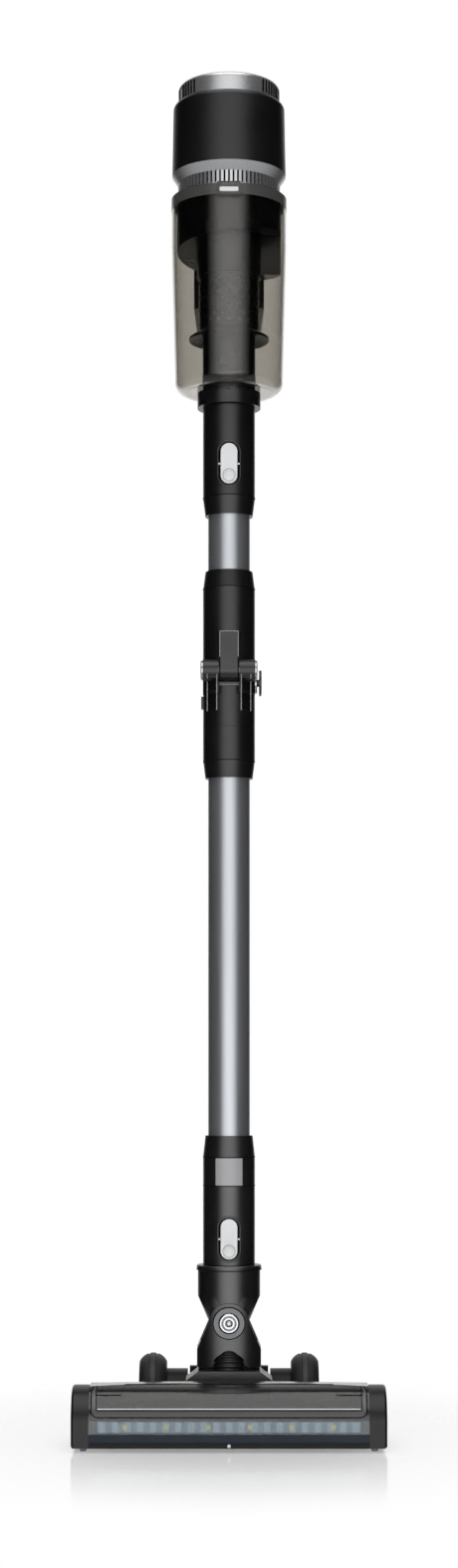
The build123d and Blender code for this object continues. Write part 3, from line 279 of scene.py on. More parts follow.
def addObject(name, data):
    holder = bpy.data.objects.new(name, data)
    bpy.context.scene.collection.objects.link(holder)
    return holder


def newPiece(name, mesh, look, smooth=True):
    piece = addObject(name, mesh)
    mesh.materials.clear()
    mesh.materials.append(looks[look])
    mesh.polygons.foreach_set("use_smooth", [smooth] * len(mesh.polygons))
    return piece


def settledMesh(piece):
    # the plain mesh that a piece's modifiers or curve give
    return bpy.data.meshes.new_from_object(piece.evaluated_get(bpy.context.evaluated_depsgraph_get()))


def seat(piece, body, node=None):
    if node:
        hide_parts(node)
    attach(piece, body)


wandY = nodeCentre("main_tube").y
binY = nodeCentre("top_cap").y
pivotSpot = Vector((0, wandY, nodeCentre("pivot_caps").z))
# the matt black that paints shade into gaps and draws dark joint lines
jointAndShade = ("mattBlackSeal", "satin_black")
sides = ((-1, "Left"), (1, "Right"))
ends = ((-1, "Front"), (1, "Rear"))


# geometry node trees for what repeats

def startTree(name, sockets):
    # sockets gives, for each kind of value, the names of the inputs that take it
    tree = bpy.data.node_groups.new(name, "GeometryNodeTree")
    for kind, labels in {**sockets, "Material": "Material"}.items():
        for label in labels.split(", "):
            tree.interface.new_socket(label, in_out="INPUT", socket_type="NodeSocket" + kind)
    tree.interface.new_socket("Geometry", in_out="OUTPUT", socket_type="NodeSocketGeometry")
    add = partial(addNode, tree)
    return tree, add, add("GroupInput").outputs


def endTree(tree, add, given, geometry, place=(0.0, 0.0, 0.0)):
    moved = add("Transform", {"Geometry": geometry, "Translation": place})
    real = add("RealizeInstances", {"Geometry": moved})
    add("GroupOutput", {"Geometry": add("SetMaterial", {"Geometry": real, "Material": given["Material"]})})
    return tree


def growPiece(name, tree, values, look, places=()):
    # runs the tree once and keeps its result as a plain mesh
    seedMesh = bpy.data.meshes.new(name)
    seedMesh.from_pydata(places, [], [])
    piece = addObject(name, seedMesh)
    grower = piece.modifiers.new(name, "NODES")
    grower.node_group = tree
    values = dict(values, Material=looks[look])
    for socket in tree.interface.items_tree:
        if socket.in_out == "INPUT" and socket.name in values:
            grower[socket.identifier] = values[socket.name]
    mesh = settledMesh(piece)
    piece.modifiers.clear()
    piece.data = mesh
    mesh.name = name
    return piece


def hoseTree():
    # a tube whose radius swells at each rib; the wall thins to nothing at both ends, so it closes
    tree, add, given = startTree("ribbedHoseTree", {
        "Vector": "Base", "Float": "Length, Radius, Rib Depth, Wall", "Int": "Ribs, Sides"})
    rings = add("Math", (given["Ribs"], 10), operation="MULTIPLY")  # ten rings shape each rib
    tube = add("MeshCylinder", {
        "Vertices": given["Sides"], "Side Segments": rings, "Radius": 1.0, "Depth": given["Length"]},
        fill_type="NONE")
    x, y, z = add("SeparateXYZ", (add("InputPosition"),)).outputs
    rise = add("Math", (given["Length"], 0.5, z), operation="MULTIPLY_ADD")
    share = add("Math", (rise, given["Length"]), operation="DIVIDE")
    turn = add("Math", (share, given["Ribs"]), operation="MULTIPLY")
    turn = add("Math", (turn, 2 * math.pi), operation="MULTIPLY")
    wave = add("Math", (add("Math", (turn,), operation="COSINE"), 0.5, 0.5), operation="MULTIPLY_ADD")
    dip = add("Math", (wave, given["Rib Depth"]), operation="MULTIPLY")
    outer = add("Math", (given["Radius"], dip), operation="SUBTRACT")
    edge = add("Math", (share, add("Math", (1.0, share), operation="SUBTRACT")), operation="MINIMUM")
    taper = add("Math", (edge, 40.0), operation="MULTIPLY")  # full wall from a fortieth of the length
    taper = add("Math", (taper, 1.0), operation="MINIMUM")
    wall = add("Math", (taper, given["Wall"]), operation="MULTIPLY")
    inner = add("Math", (outer, wall), operation="SUBTRACT")
    skins = []
    for radius in (outer, inner):
        spot = [add("Math", (axis, radius), operation="MULTIPLY") for axis in (x, y)]
        skins.append(add("SetPosition", {"Geometry": tube, "Position": add("CombineXYZ", (*spot, rise))}))
    both = add("JoinGeometry", ([skins[0], add("FlipFaces", {"Mesh": skins[1]})],))
    whole = add("MergeByDistance", {"Geometry": both, "Distance": 10 * weldMm * mm})
    return endTree(tree, add, given, add("SetShadeSmooth", {"Geometry": whole}), given["Base"])


def bristleTree():
    # filaments stand in V-shaped rows on a soft sleeve; the seed scatters each one a little
    tree, add, given = startTree("bristleRowsTree", {
        "Vector": "Centre", "Int": "Rows, Filaments, Seed",
        "Float": "Length, Sleeve Radius, Tip Radius, Filament Radius, Chevron, Scatter"})
    count = add("Math", (given["Rows"], given["Filaments"]), operation="MULTIPLY")
    index = add("InputIndex")
    row = add("Math", (index, given["Rows"]), operation="MODULO")
    order = add("Math", (add("Math", (index, given["Rows"]), operation="DIVIDE"),), operation="FLOOR")
    share = add("Math", (add("Math", (order, 0.5)), given["Filaments"]), operation="DIVIDE")
    middle = add("Math", (share, 0.5), operation="SUBTRACT")
    along = add("Math", (middle, given["Length"]), operation="MULTIPLY")
    lean = add("RandomValue", {"Seed": given["Seed"], 2: -1.0, 3: 1.0}, data_type="FLOAT").outputs[1]
    bend = add("Math", (add("Math", (middle,), operation="ABSOLUTE"), 2.0), operation="MULTIPLY")
    angle = add("Math", (row, given["Rows"]), operation="DIVIDE")
    angle = add("Math", (angle, 2 * math.pi), operation="MULTIPLY")
    angle = add("Math", (bend, given["Chevron"], angle), operation="MULTIPLY_ADD")
    angle = add("Math", (lean, given["Scatter"], angle), operation="MULTIPLY_ADD")
    ahead = add("Math", (add("Math", (angle,), operation="SINE"), -1.0), operation="MULTIPLY")
    outward = add("CombineXYZ", (0.0, ahead, add("Math", (angle,), operation="COSINE")))
    foot = add("VectorMath", {0: outward, "Scale": given["Sleeve Radius"]}, operation="SCALE")
    spot = add("VectorMath", (foot, add("CombineXYZ", (along,))))
    height = add("Math", (given["Tip Radius"], given["Sleeve Radius"]), operation="SUBTRACT")
    filament = add("MeshCylinder", {"Vertices": 5, "Radius": given["Filament Radius"], "Depth": height})
    lift = add("CombineXYZ", {"Z": add("Math", (height, 0.5), operation="MULTIPLY")})
    points = add("MeshLine", {"Count": count})
    rows = add("InstanceOnPoints", {
        "Points": add("SetPosition", {"Geometry": points, "Position": spot}),
        "Instance": add("Transform", {"Geometry": filament, "Translation": lift}),
        "Rotation": add("AlignRotationToVector", {"Vector": outward}, axis="Z")})
    sleeve = add("MeshCylinder", {"Vertices": 48, "Radius": given["Sleeve Radius"], "Depth": given["Length"]})
    lying = add("Transform", {"Geometry": sleeve, "Rotation": (0.0, math.pi / 2, 0.0)})
    return endTree(tree, add, given, add("JoinGeometry", ([rows, lying],)), given["Centre"])


def ringTree():
    # one bar, repeated about the X axis
    tree, add, given = startTree("ringOfBarsTree", {
        "Vector": "Centre, Bar Size", "Float": "Radius", "Int": "Count"})
    circle = add("MeshCircle", {"Vertices": given["Count"], "Radius": given["Radius"]})
    ring = add("InstanceOnPoints", {
        "Points": add("Transform", {"Geometry": circle, "Rotation": (0.0, math.pi / 2, 0.0)}),
        "Instance": add("MeshCube", {"Size": given["Bar Size"]}),
        "Rotation": add("AlignRotationToVector", {"Vector": add("InputPosition")}, axis="Z", pivot_axis="X")})
    return endTree(tree, add, given, ring, given["Centre"])


def slotTree():
    # one bar at each point, turned so that its X side faces away from the axis
    tree, add, given = startTree("slotBarsTree", {"Geometry": "Places", "Vector": "Axis, Bar Size"})
    outward = add("VectorMath", (add("InputPosition"), given["Axis"]), operation="SUBTRACT")
    bars = add("InstanceOnPoints", {
        "Points": given["Places"], "Instance": add("MeshCube", {"Size": given["Bar Size"]}),
        "Rotation": add("AlignRotationToVector", {"Vector": outward}, axis="X", pivot_axis="Z")})
    return endTree(tree, add, given, bars)


def screwTree():
    # pan-head screws with a cross recess, one at each point, all facing one way
    tree, add, given = startTree("crossScrewTree", {
        "Geometry": "Places", "Vector": "Facing", "Float": "Radius, Height"})
    head = add("MeshCylinder", {"Vertices": 32, "Radius": given["Radius"], "Depth": given["Height"]})
    # length and width of the recess, as shares of the head's radius
    arm, slit = (add("Math", (given["Radius"], share), operation="MULTIPLY") for share in (1.2, 0.28))
    blade = add("MeshCube", {"Size": add("CombineXYZ", (arm, slit, given["Height"]))})
    raised = add("CombineXYZ", {"Z": add("Math", (given["Height"], 0.5), operation="MULTIPLY")})
    cuts = []
    for turn in (0.0, math.pi / 2):
        cuts.append(add("Transform", {
            "Geometry": blade, "Translation": raised, "Rotation": (0.0, 0.0, turn)}))
    cross = add("MeshBoolean", {"Mesh 1": head, "Mesh 2": cuts}, operation="DIFFERENCE")
    heads = add("InstanceOnPoints", {
        "Points": given["Places"], "Instance": cross, "Rotation": given["Facing"]})
    return endTree(tree, add, given, heads)


# meshes drawn in code

def meshFrom(shape, name, sharpDegrees=35):
    mesh = bpy.data.meshes.new(name)
    shape.to_mesh(mesh)
    shape.free()
    mesh.polygons.foreach_set("use_smooth", [True] * len(mesh.polygons))
    mesh.set_sharp_from_angle(angle=math.radians(sharpDegrees))
    return mesh


def pieceFrom(shape, name, look, sharpDegrees=35):
    bmesh.ops.recalc_face_normals(shape, faces=shape.faces)
    return newPiece(name, meshFrom(shape, name, sharpDegrees), look)


def bridge(shape, first, second, closed=True):
    # faces between two rows of points
    for step in range(len(first) if closed else len(first) - 1):
        ahead = (step + 1) % len(first)
        shape.faces.new((first[step], first[ahead], second[ahead], second[step]))


def circleOf(steps):
    turns = [2 * math.pi * step / steps for step in range(steps)]
    return [(math.cos(turn), math.sin(turn)) for turn in turns]


def turnedPiece(name, look, profile, axis, centre, segments=72, closed=False):
    # profile points are (radius, distance along the axis) in millimetres
    shape = bmesh.new()
    rings = []
    for radius, along in profile:
        ring = []
        for across, up in circleOf(segments):
            across, up = radius * across, radius * up
            spot = {"X": (along, across, up), "Y": (across, along, up), "Z": (across, up, along)}[axis]
            ring.append(shape.verts.new(Vector(spot) * mm + centre))
        rings.append(ring)
    for first, second in zip(rings, rings[1:] + rings[:1] if closed else rings[1:]):
        bridge(shape, first, second)
    bmesh.ops.remove_doubles(shape, verts=shape.verts, dist=weldMm * mm)
    return pieceFrom(shape, name, look)


def frontCircle(centre, radiusMm, steps):
    return [centre + Vector((x, 0, z)) * radiusMm * mm for x, z in circleOf(steps)]


def layBead(name, points, radiusMm, look, slot, body, closed=False):
    # a thin round bead along the points, which are in metres
    curve = bpy.data.curves.new(name, "CURVE")
    curve.dimensions = "3D"
    curve.bevel_depth = radiusMm * mm
    curve.bevel_resolution = 3
    curve.use_fill_caps = True
    line = curve.splines.new("POLY")
    line.points.add(len(points) - 1)
    for knot, spot in zip(line.points, points):
        knot.co = (*spot, 1.0)
    line.use_cyclic_u = closed
    holder = addObject(name + "Line", curve)
    mesh = settledMesh(holder)
    bpy.data.objects.remove(holder)
    seat(newPiece(name, mesh, look), body)


# ribbed hoses at the neck and the knee

hoses = {
    "neckHose": {"node": "neck_hose", "bodies": ("floor_head", "yoke"),
                 "inputs": {"Ribs": 8, "Rib Depth": 1.6 * mm, "Wall": 1.3 * mm, "Sides": 64}},
    "kneeHose": {"node": "knee_hose", "bodies": ("lower_wand", "upper_wand"),
                 "inputs": {"Ribs": 14, "Rib Depth": 2.0 * mm, "Wall": 1.3 * mm, "Sides": 72}},
}
hoseMaker = hoseTree()
for hoseName, hose in hoses.items():
    low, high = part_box(hose["node"])
    base = Vector(((low.x + high.x) / 2, (low.y + high.y) / 2, low.z))
    size = {"Base": base, "Length": high.z - low.z, "Radius": (high.x - low.x) / 2}
    piece = growPiece(hoseName, hoseMaker, {**hose["inputs"], **size}, "ribbedElastomer")
    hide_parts(hose["node"])
    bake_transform(piece)
print("hoses grown")


# bristles of the brush roll

brush = {"Length": 194.0 * mm, "Sleeve Radius": 14.5 * mm, "Tip Radius": 22.3 * mm,
         "Filament Radius": 0.32 * mm, "Rows": 4, "Filaments": 520, "Chevron": math.radians(80.0),
         "Scatter": 0.10, "Seed": 7}
brushAxis = nodeCentre("brush_core")
brushAxis.x = 0
bristles = growPiece("brushBristles", bristleTree(), {**brush, "Centre": brushAxis}, "nylonBristle")
seat(bristles, "brush_roll", "brush_bristles")
print("bristles grown")


# screws

screws = {
    "soleScrews": {"body": "floor_head", "replaces": "head_screws",
                   "inputs": {"Radius": 2.7 * mm, "Height": 1.8 * mm, "Facing": (math.pi, 0, 0)},
                   "placesMm": [(-89, -32, 4.4), (89, -32, 4.4), (-89, -94.4, 4.4), (89, -94.4, 4.4)]},
    "noseScrew": {"body": "floor_head", "replaces": None,
                  "inputs": {"Radius": 1.35 * mm, "Height": 1.2 * mm, "Facing": (math.pi / 2, 0, 0)},
                  "placesMm": [(0, -102.4, 5.5)]},
    "gripScrews": {"body": "motor_unit", "replaces": "handle_screws",
                   "inputs": {"Radius": 2.7 * mm, "Height": 1.8 * mm, "Facing": (0, math.pi / 2, 0)},
                   "placesMm": [(15.1, 30.25, 1000.75), (15.1, 88, 1000.75), (15.1, 54, 1069.75)]},
}
screwMaker = screwTree()
for screwName, screw in screws.items():
    places = [Vector(place) * mm for place in screw["placesMm"]]
    piece = growPiece(screwName, screwMaker, screw["inputs"], "turnedSteel", places)
    seat(piece, screw["body"], screw["replaces"])
print("screws placed")


# rear wheels

wheel = {"radiusMm": 33.0, "edgeMm": 26.0, "halfWidthMm": 11.3, "tyreInnerMm": 24.0, "boreMm": 4.1,
         "hubMm": 13.0, "hubRoundMm": 0.6, "dishMm": 3.0, "grooveMm": 0.7, "spokes": 6,
         "spokeMm": (2.2, 2.4, 11.6), "spokeSinkMm": 0.4}


def tyreProfile():
    half, rise = wheel["halfWidthMm"], wheel["radiusMm"] - wheel["edgeMm"]
    bow = (half ** 2 + rise ** 2) / (2 * rise)
    crown = []
    for step in range(33):
        along = half * (step / 16 - 1)
        radius = wheel["radiusMm"] - bow + math.sqrt(bow ** 2 - along ** 2)
        if step in (11, 12, 20, 21):  # two shallow grooves round the tread
            radius -= wheel["grooveMm"]
        crown.append((radius, along))
    return [(wheel["tyreInnerMm"], -half), *crown, (wheel["tyreInnerMm"], half)]


def makeWheel(side, name):
    centre = nodeCentre(name)
    half, dish, bore = wheel["halfWidthMm"], wheel["dishMm"], wheel["boreMm"]
    rim, hub = wheel["tyreInnerMm"], wheel["hubMm"]
    outline = [(bore, -half), (rim, -half), (rim, half - dish), (hub, half - dish),
               (hub - wheel["hubRoundMm"], half), (bore, half)]
    outline = [(radius, along * side) for radius, along in outline]
    tyre = turnedPiece(name + "Tyre", "softRubberTyre", tyreProfile(), "X", centre, 96, True)
    hubPiece = turnedPiece(name + "Hub", "satinBlackAbs", outline, "X", centre, 72, True)
    spokes = growPiece(name + "Spokes", ringMaker, {
        "Centre": centre + Vector((side * (half - dish / 2 - wheel["spokeSinkMm"]) * mm, 0, 0)),
        "Bar Size": Vector(wheel["spokeMm"]) * mm, "Radius": (hub + rim) / 2 * mm,
        "Count": wheel["spokes"]}, "satinBlackAbs")
    seat(tyre, name, name)
    seat(hubPiece, name)
    seat(spokes, name)


ringMaker = ringTree()
makeWheel(-1, "rear_wheel_left")
makeWheel(1, "rear_wheel_right")
print("wheels turned")


# release buttons on the collars

button = {"widthMm": 13.8, "lengthMm": 32.8, "frontMm": 22.75, "backMm": 18.7, "roundMm": 0.9,
          "dimpleRadiusMm": 5.0, "dimpleDepthMm": 1.5, "pinRadiusMm": 0.8, "pinReachMm": 8.6,
          "pinPlaceMm": 19.6, "roundSteps": 4, "dimpleSteps": 6}


def pillOutline(width, length, steps, halfTurn):
    # two half circles that stand apart; half a circle takes halfTurn steps
    half, straight = width / 2, (length - width) / 2
    outline = []
    for step in range(2 * steps):
        turn = math.pi * step / halfTurn
        lift = straight if step < steps else -straight
        outline.append((half * math.cos(turn), half * math.sin(turn) + lift))
    return outline


def pillRing(shape, width, length, depth, centreZ):
    place = Vector((0, wandY, centreZ))
    outline = pillOutline(width, length, 24, 24)
    return [shape.verts.new(Vector((x, -depth, z)) * mm + place) for x, z in outline]


def makeButton(node):
    shape = bmesh.new()
    centreZ = nodeCentre(node).z
    width, length, edge = button["widthMm"], button["lengthMm"], button["roundMm"]
    pill = [pillRing(shape, width, length, button["backMm"], centreZ)]
    for step in range(button["roundSteps"] + 1):
        turn = math.pi / 2 * step / button["roundSteps"]
        inset = 2 * edge * (1 - math.cos(turn))
        depth = button["frontMm"] - edge + edge * math.sin(turn)
        pill.append(pillRing(shape, width - inset, length - inset, depth, centreZ))
    low = -(length - width) / 2
    dish = []
    for step in range(button["dimpleSteps"]):
        share = step / button["dimpleSteps"]
        depth = button["frontMm"] - button["dimpleDepthMm"] * math.sin(share * math.pi / 2)
        radius = button["dimpleRadiusMm"] * (1 - share)
        dish.append(pillRing(shape, 2 * radius, 2 * radius, depth, centreZ + low * mm))
    for rings, end in ((pill, pill[0]), (dish, dish[-1])):
        for first, second in zip(rings, rings[1:]):
            bridge(shape, first, second)
        shape.faces.new(end)
    rims = []
    for ring in (pill[-1], dish[0]):
        rims += [shape.edges.get(pair) for pair in zip(ring, ring[1:] + ring[:1])]
    bmesh.ops.triangle_fill(shape, use_beauty=True, edges=rims)
    place = Matrix.Translation((0, wandY - button["pinPlaceMm"] * mm, centreZ))
    pinRadius = button["pinRadiusMm"] * mm
    bmesh.ops.create_cone(
        shape, cap_ends=True, segments=16, radius1=pinRadius, radius2=pinRadius,
        depth=2 * button["pinReachMm"] * mm, matrix=place @ Matrix.Rotation(math.pi / 2, 4, "Y"))
    seat(pieceFrom(shape, node + "Pill", "lightGreyAbs"), node, node)


makeButton("lower_button")
makeButton("upper_button")
print("buttons made")


# neck: the yoke gets a barrel front and a wide arch, the socket's front and back run down round the pivot

neck = {
    "yokeBow": {"depthMm": 22.0, "widthMm": 29.0, "wallMm": 0.8, "topMm": 114.0},
    "socketBow": {"depthMm": 17.15, "widthMm": 24.0, "wallMm": 2.0, "topMm": 119.0},
    "stripMm": 2.0, "edgeShare": 0.98, "sharpDegrees": 14,
    "archHalfMm": 15.0, "archRiseMm": 15.5, "archFootMm": 58.0, "archReachMm": (18.0, 30.0),
    "earTopMm": 117.9,  # just under the foot of the cup
    "cupMm": [(9.6, 118), (25.4, 118), (25.4, 138.8), (25.7, 139), (26.2, 139), (26.4, 139.2), (26.4, 142.2),
              (25.7, 143), (17.05, 143), (17.05, 118.9), (9.6, 118.9)],
    "skirtGrid": (48, 6), "skirtThinMm": 0.2,
    "skirtRadiusMm": 25.35, "skirtInnerMm": 16.6, "skirtBackMm": 16.0,
    "skirtDegrees": 62.0,  # clear of the yoke when the swivel leans all the way
    "skirtTopMm": 118.4, "waistMm": 16.4, "taper": 0.438, "bossRadiusMm": 13.3, "bossMm": (17.7, 22.15),
}


def weldedMesh(node):
    shape = bmesh.new()
    shape.from_mesh(cadNodes[node].data)
    bmesh.ops.remove_doubles(shape, verts=shape.verts, dist=weldMm * mm)
    return meshFrom(shape, node + "Welded")


def cutArch(mesh):
    # opens a wide arch in the front wall of the yoke
    near, far = neck["archReachMm"]
    outline = [(0, -far), (1, -far), (1, -near), (0, -near)]
    cutter = turnedPiece("archCutter", "neckBlackAbs", outline, "Y", Vector((0, wandY, 0)))
    for vert in cutter.data.vertices:
        vert.co.x *= neck["archHalfMm"]
        vert.co.z = vert.co.z * neck["archRiseMm"] + neck["archFootMm"] * mm
    blank = newPiece("archBlank", mesh, "neckBlackAbs")
    cut = blank.modifiers.new("arch", "BOOLEAN")
    cut.object = cutter
    cut.solver = "EXACT"
    opened = settledMesh(blank)
    bpy.data.objects.remove(blank)
    bpy.data.objects.remove(cutter)
    return opened


def bowFront(mesh, bow):
    # cuts the solid into upright strips and rounds its flat front to a flat ellipse
    shape = bmesh.new()
    shape.from_mesh(mesh)
    half = max(vert.co.x for vert in shape.verts)
    across = neck["stripMm"] * mm - half
    while across < half:
        faces = [face for face in shape.faces if face.calc_center_median().z < bow["topMm"] * mm]
        edges = {edge for face in faces for edge in face.edges}
        verts = {vert for face in faces for vert in face.verts}
        bmesh.ops.bisect_plane(
            shape, geom=[*verts, *edges, *faces], plane_co=(across, 0, 0), plane_no=(1, 0, 0))
        across += neck["stripMm"] * mm
    for vert in shape.verts:
        depth = (wandY - vert.co.y) / mm
        share = min(abs(vert.co.x) / (bow["widthMm"] * mm), neck["edgeShare"])
        inside = bow["depthMm"] * math.sqrt(1 - share ** 2) - bow["wallMm"]
        if depth > inside:  # what stands outside the ellipse is pressed into a thin wall behind it
            depth = inside + (depth - inside) * bow["wallMm"] / (bow["depthMm"] - inside)
            vert.co.y = wandY - depth * mm
    return shape


def makeYoke():
    shape = bowFront(cutArch(weldedMesh("neck_yoke")), neck["yokeBow"])
    mesh = meshFrom(shape, "neckYokeBarrel", neck["sharpDegrees"])
    seat(newPiece("neckYokeBarrel", mesh, "neckBlackAbs"), "yoke", "neck_yoke")


def cutTop(mesh, heightMm):
    # keeps what lies below the height and closes the cut
    shape = bmesh.new()
    shape.from_mesh(mesh)
    everything = shape.verts[:] + shape.edges[:] + shape.faces[:]
    cut = bmesh.ops.bisect_plane(
        shape, geom=everything, plane_co=(0, 0, heightMm * mm), plane_no=(0, 0, 1), clear_outer=True)
    edges = [part for part in cut["geom_cut"] if isinstance(part, bmesh.types.BMEdge)]
    bmesh.ops.triangle_fill(shape, use_beauty=True, edges=edges)
    return meshFrom(shape, "socketLower")


def makeSocket():
    shape = bowFront(cutTop(weldedMesh("neck_socket"), neck["earTopMm"]), neck["socketBow"])
    ears = pieceFrom(shape, "socketEars", "neckBlackAbs", neck["sharpDegrees"])
    cup = turnedPiece("socketCup", "neckBlackAbs", neck["cupMm"], "Z", Vector((0, wandY, 0)), 96, True)
    seat(cup, "neck_socket", "neck_socket")
    seat(ears, "neck_socket")


def makeSkirt(name, side):
    # a barrel patch between the round of the pivot and the foot of the cup
    steps, rows = neck["skirtGrid"]
    inner, back = neck["skirtInnerMm"], neck["skirtBackMm"]
    start = math.radians(neck["skirtDegrees"])
    shape = bmesh.new()
    rims = []
    for layer in range(2):
        grid = []
        for step in range(steps + 1):
            turn = start + (math.pi - 2 * start) * step / steps
            across, up = math.cos(turn), math.sin(turn)
            reach = (neck["skirtTopMm"] - pivotSpot.z / mm) / up
            if abs(across) > neck["taper"] * up:
                reach = min(reach, neck["waistMm"] / (abs(across) - neck["taper"] * up))
            line = []
            for row in range(rows + 1):
                radius = inner + (reach - inner) * row / rows
                bulge = math.sqrt(max(neck["skirtRadiusMm"] ** 2 - (radius * across) ** 2, 0))
                depth = max(bulge, back + neck["skirtThinMm"]) if layer else back
                spot = Vector((radius * across, side * depth, radius * up))
                line.append(shape.verts.new(spot * mm + pivotSpot))
            grid.append(line)
        for first, second in zip(grid, grid[1:]):
            bridge(shape, first, second, False)
        foot, head = [line[0] for line in grid], [line[-1] for line in grid]
        rims.append(foot + grid[-1][1:] + head[-2::-1] + grid[0][-2:0:-1])
    bridge(shape, *rims)
    seat(pieceFrom(shape, name, "neckBlackAbs"), "neck_socket")


def makeBosses():
    # matt black discs round the pivot: painted shade in the gap round each ring
    near, far = neck["bossMm"]
    radius = neck["bossRadiusMm"]
    for side, label in ends:
        outline = [(0, side * near), (radius, side * near), (radius, side * far), (0, side * far)]
        boss = turnedPiece("pivotBoss" + label, "mattBlackSeal", outline, "Y", pivotSpot)
        seat(boss, "yoke")


makeYoke()
makeSocket()
makeSkirt("socketSkirtFront", -1)
makeSkirt("socketSkirtRear", 1)
makeBosses()
print("neck shaped")


# silver caps of the swivel, turned with rings; matt black beads in the grooves and round the rim are painted
# shade

pivot = {"faceMm": 23.2,
         "profileMm": [(0, 0), (8, 0), (8, 1.1), (7.3, 1.8), (6.2, 1.8), (5.8, 1.3), (4.9, 1.3), (4.5, 1.8),
                       (3.2, 1.8), (2.8, 1.4), (2.1, 1.4), (1.7, 1.7), (0, 1.8)],
         "groovesMm": [(8.3, 0.1), (5.35, 1.25), (2.45, 1.35)], "grooveMm": 0.3, "grooveSteps": 48}


def makePivotCaps():
    for side, label in ends:
        name = "pivotCap" + label
        profile = [(radius, side * (pivot["faceMm"] + along)) for radius, along in pivot["profileMm"]]
        cap = turnedPiece(name, "turnedCap", profile, "Y", pivotSpot)
        seat(cap, "yoke", "pivot_caps" if side < 0 else None)
        for index, (radius, along) in enumerate(pivot["groovesMm"]):
            centre = pivotSpot + Vector((0, side * (pivot["faceMm"] + along) * mm, 0))
            ring = frontCircle(centre, radius, pivot["grooveSteps"])
            layBead(f"{name}Groove{index}", ring, pivot["grooveMm"], *jointAndShade, "yoke", True)


makePivotCaps()
print("pivot caps turned")


# painted shade: matt black bars fill the cooling slots round the back and sides of the top cap

slots = {"firstDegrees": 42.0, "pitchDegrees": 5.0, "widthMm": 1.7, "depthMm": 1.6, "lowMm": 1.2,
         "highMm": 11.6, "proudMm": 0.1}


def makeCapSlotShade():
    low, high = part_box("top_cap")
    radius = (high.x - low.x) / 2 + (slots["proudMm"] - slots["depthMm"] / 2) * mm
    axis = Vector((0, binY, low.z + (slots["lowMm"] + slots["highMm"]) / 2 * mm))
    places = []
    angle = slots["firstDegrees"]
    while angle <= 360 - slots["firstDegrees"]:
        turn = math.radians(angle)
        places.append(axis + Vector((math.sin(turn), -math.cos(turn), 0)) * radius)
        angle += slots["pitchDegrees"]
    size = Vector((slots["depthMm"], slots["widthMm"], slots["highMm"] - slots["lowMm"])) * mm
    bars = growPiece("capSlotShade", slotTree(), {"Axis": axis, "Bar Size": size}, "mattBlackSeal", places)
    seat(bars, "motor_unit")


makeCapSlotShade()


# thin trim laid onto the solids: dark joint lines at the seams, painted highlights along edges, painted shade
# in gaps and along the window frame

trim = {"stepMm": 3.0, "seamMm": 0.35, "beadMm": 0.5, "proudMm": 0.12}


def skinOf(name):
    # a search tree over the named solid
    mesh = cadNodes[name].data
    return BVHTree.FromPolygons([v.co for v in mesh.vertices], [list(p.vertices) for p in mesh.polygons])


def dropFront(skin, x, z):
    # where a line from the front meets the skin, or the nearest spot if it slips past an edge
    spot = skin.ray_cast(Vector((x * mm, -1, z * mm)), Vector((0, 1, 0)))[0]
    return spot or skin.find_nearest(Vector((x * mm, -0.1, z * mm)))[0]


def layRing(skin, centre, steps=72):
    # points all round a solid at the centre's height
    hits = []
    for x, y in circleOf(steps):
        outward = Vector((x, y, 0))
        hits.append(skin.ray_cast(centre + outward * 0.1, -outward)[0])
    return [spot for spot in hits if spot]


def divided(outline, guide, closed):
    # the outline cut into short steps, as many in each stretch as the guide's length there asks for
    path, measure = (line + line[:1] if closed else line for line in (outline, guide))
    spots = [path[0]]
    for index in range(len(path) - 1):
        count = max(1, math.ceil(math.dist(measure[index], measure[index + 1]) / trim["stepMm"]))
        for step in range(1, count + 1):
            spots.append([a + (b - a) * step / count for a, b in zip(path[index], path[index + 1])])
    return spots[:-1] if closed else spots


def layLine(name, skin, outline, radiusMm, look, slot, body, closed=False):
    # a bead along a front-view outline of (x, z) in millimetres, dropped onto the skin
    points = [dropFront(skin, x, z) for x, z in divided(outline, outline, closed)]
    layBead(name, points, radiusMm, look, slot, body, closed)


def layBand(name, skin, outer, inner, look, slot, body, closed=False):
    # a thin strip between two outlines with the same number of points, just proud of the skin
    shape = bmesh.new()
    lines = [divided(outline, outer, closed) for outline in (outer, inner)]
    layers = []
    for proud in (1, -1):
        rings = []
        for share in (0, 0.25, 0.5, 0.75, 1):
            ring = []
            for first, second in zip(*lines):
                x, z = (a + (b - a) * share for a, b in zip(first, second))
                spot = dropFront(skin, x, z) - Vector((0, proud * trim["proudMm"] * mm, 0))
                ring.append(shape.verts.new(spot))
            rings.append(ring)
        layers.append(rings)
    front, back = layers
    for rings in (front, back[::-1], [back[0], front[0]], [front[-1], back[-1]]):
        for first, second in zip(rings, rings[1:]):
            bridge(shape, first, second, closed)
    seat(pieceFrom(shape, name, look), body)


seams = [  # node, body and height in millimetres
    ("neck_socket", "neck_socket", 139.4), ("lower_collar", "lower_wand", 231.0),
    ("lower_collar", "lower_wand", 207.7), ("knee_lower_body", "lower_wand", 553.3),
    ("knee_upper_body", "upper_wand", 694.0), ("upper_collar", "upper_wand", 768.0),
]


def makeSeams():
    for index, (node, body, heightMm) in enumerate(seams):
        points = layRing(skinOf(node), Vector((0, wandY, heightMm * mm)))
        layBead(f"{node}Seam{index}", points, trim["seamMm"], *jointAndShade, body, True)


window = {"halfMm": 108.9, "lowMm": 28.0, "topMm": 51.6, "cornerMm": 5.5, "paneHalfMm": 105.0,
          "paneLowMm": 33.2, "paneCornerMm": 1.5, "ledgeHalfMm": 104.0, "ledgeMm": 34.4}


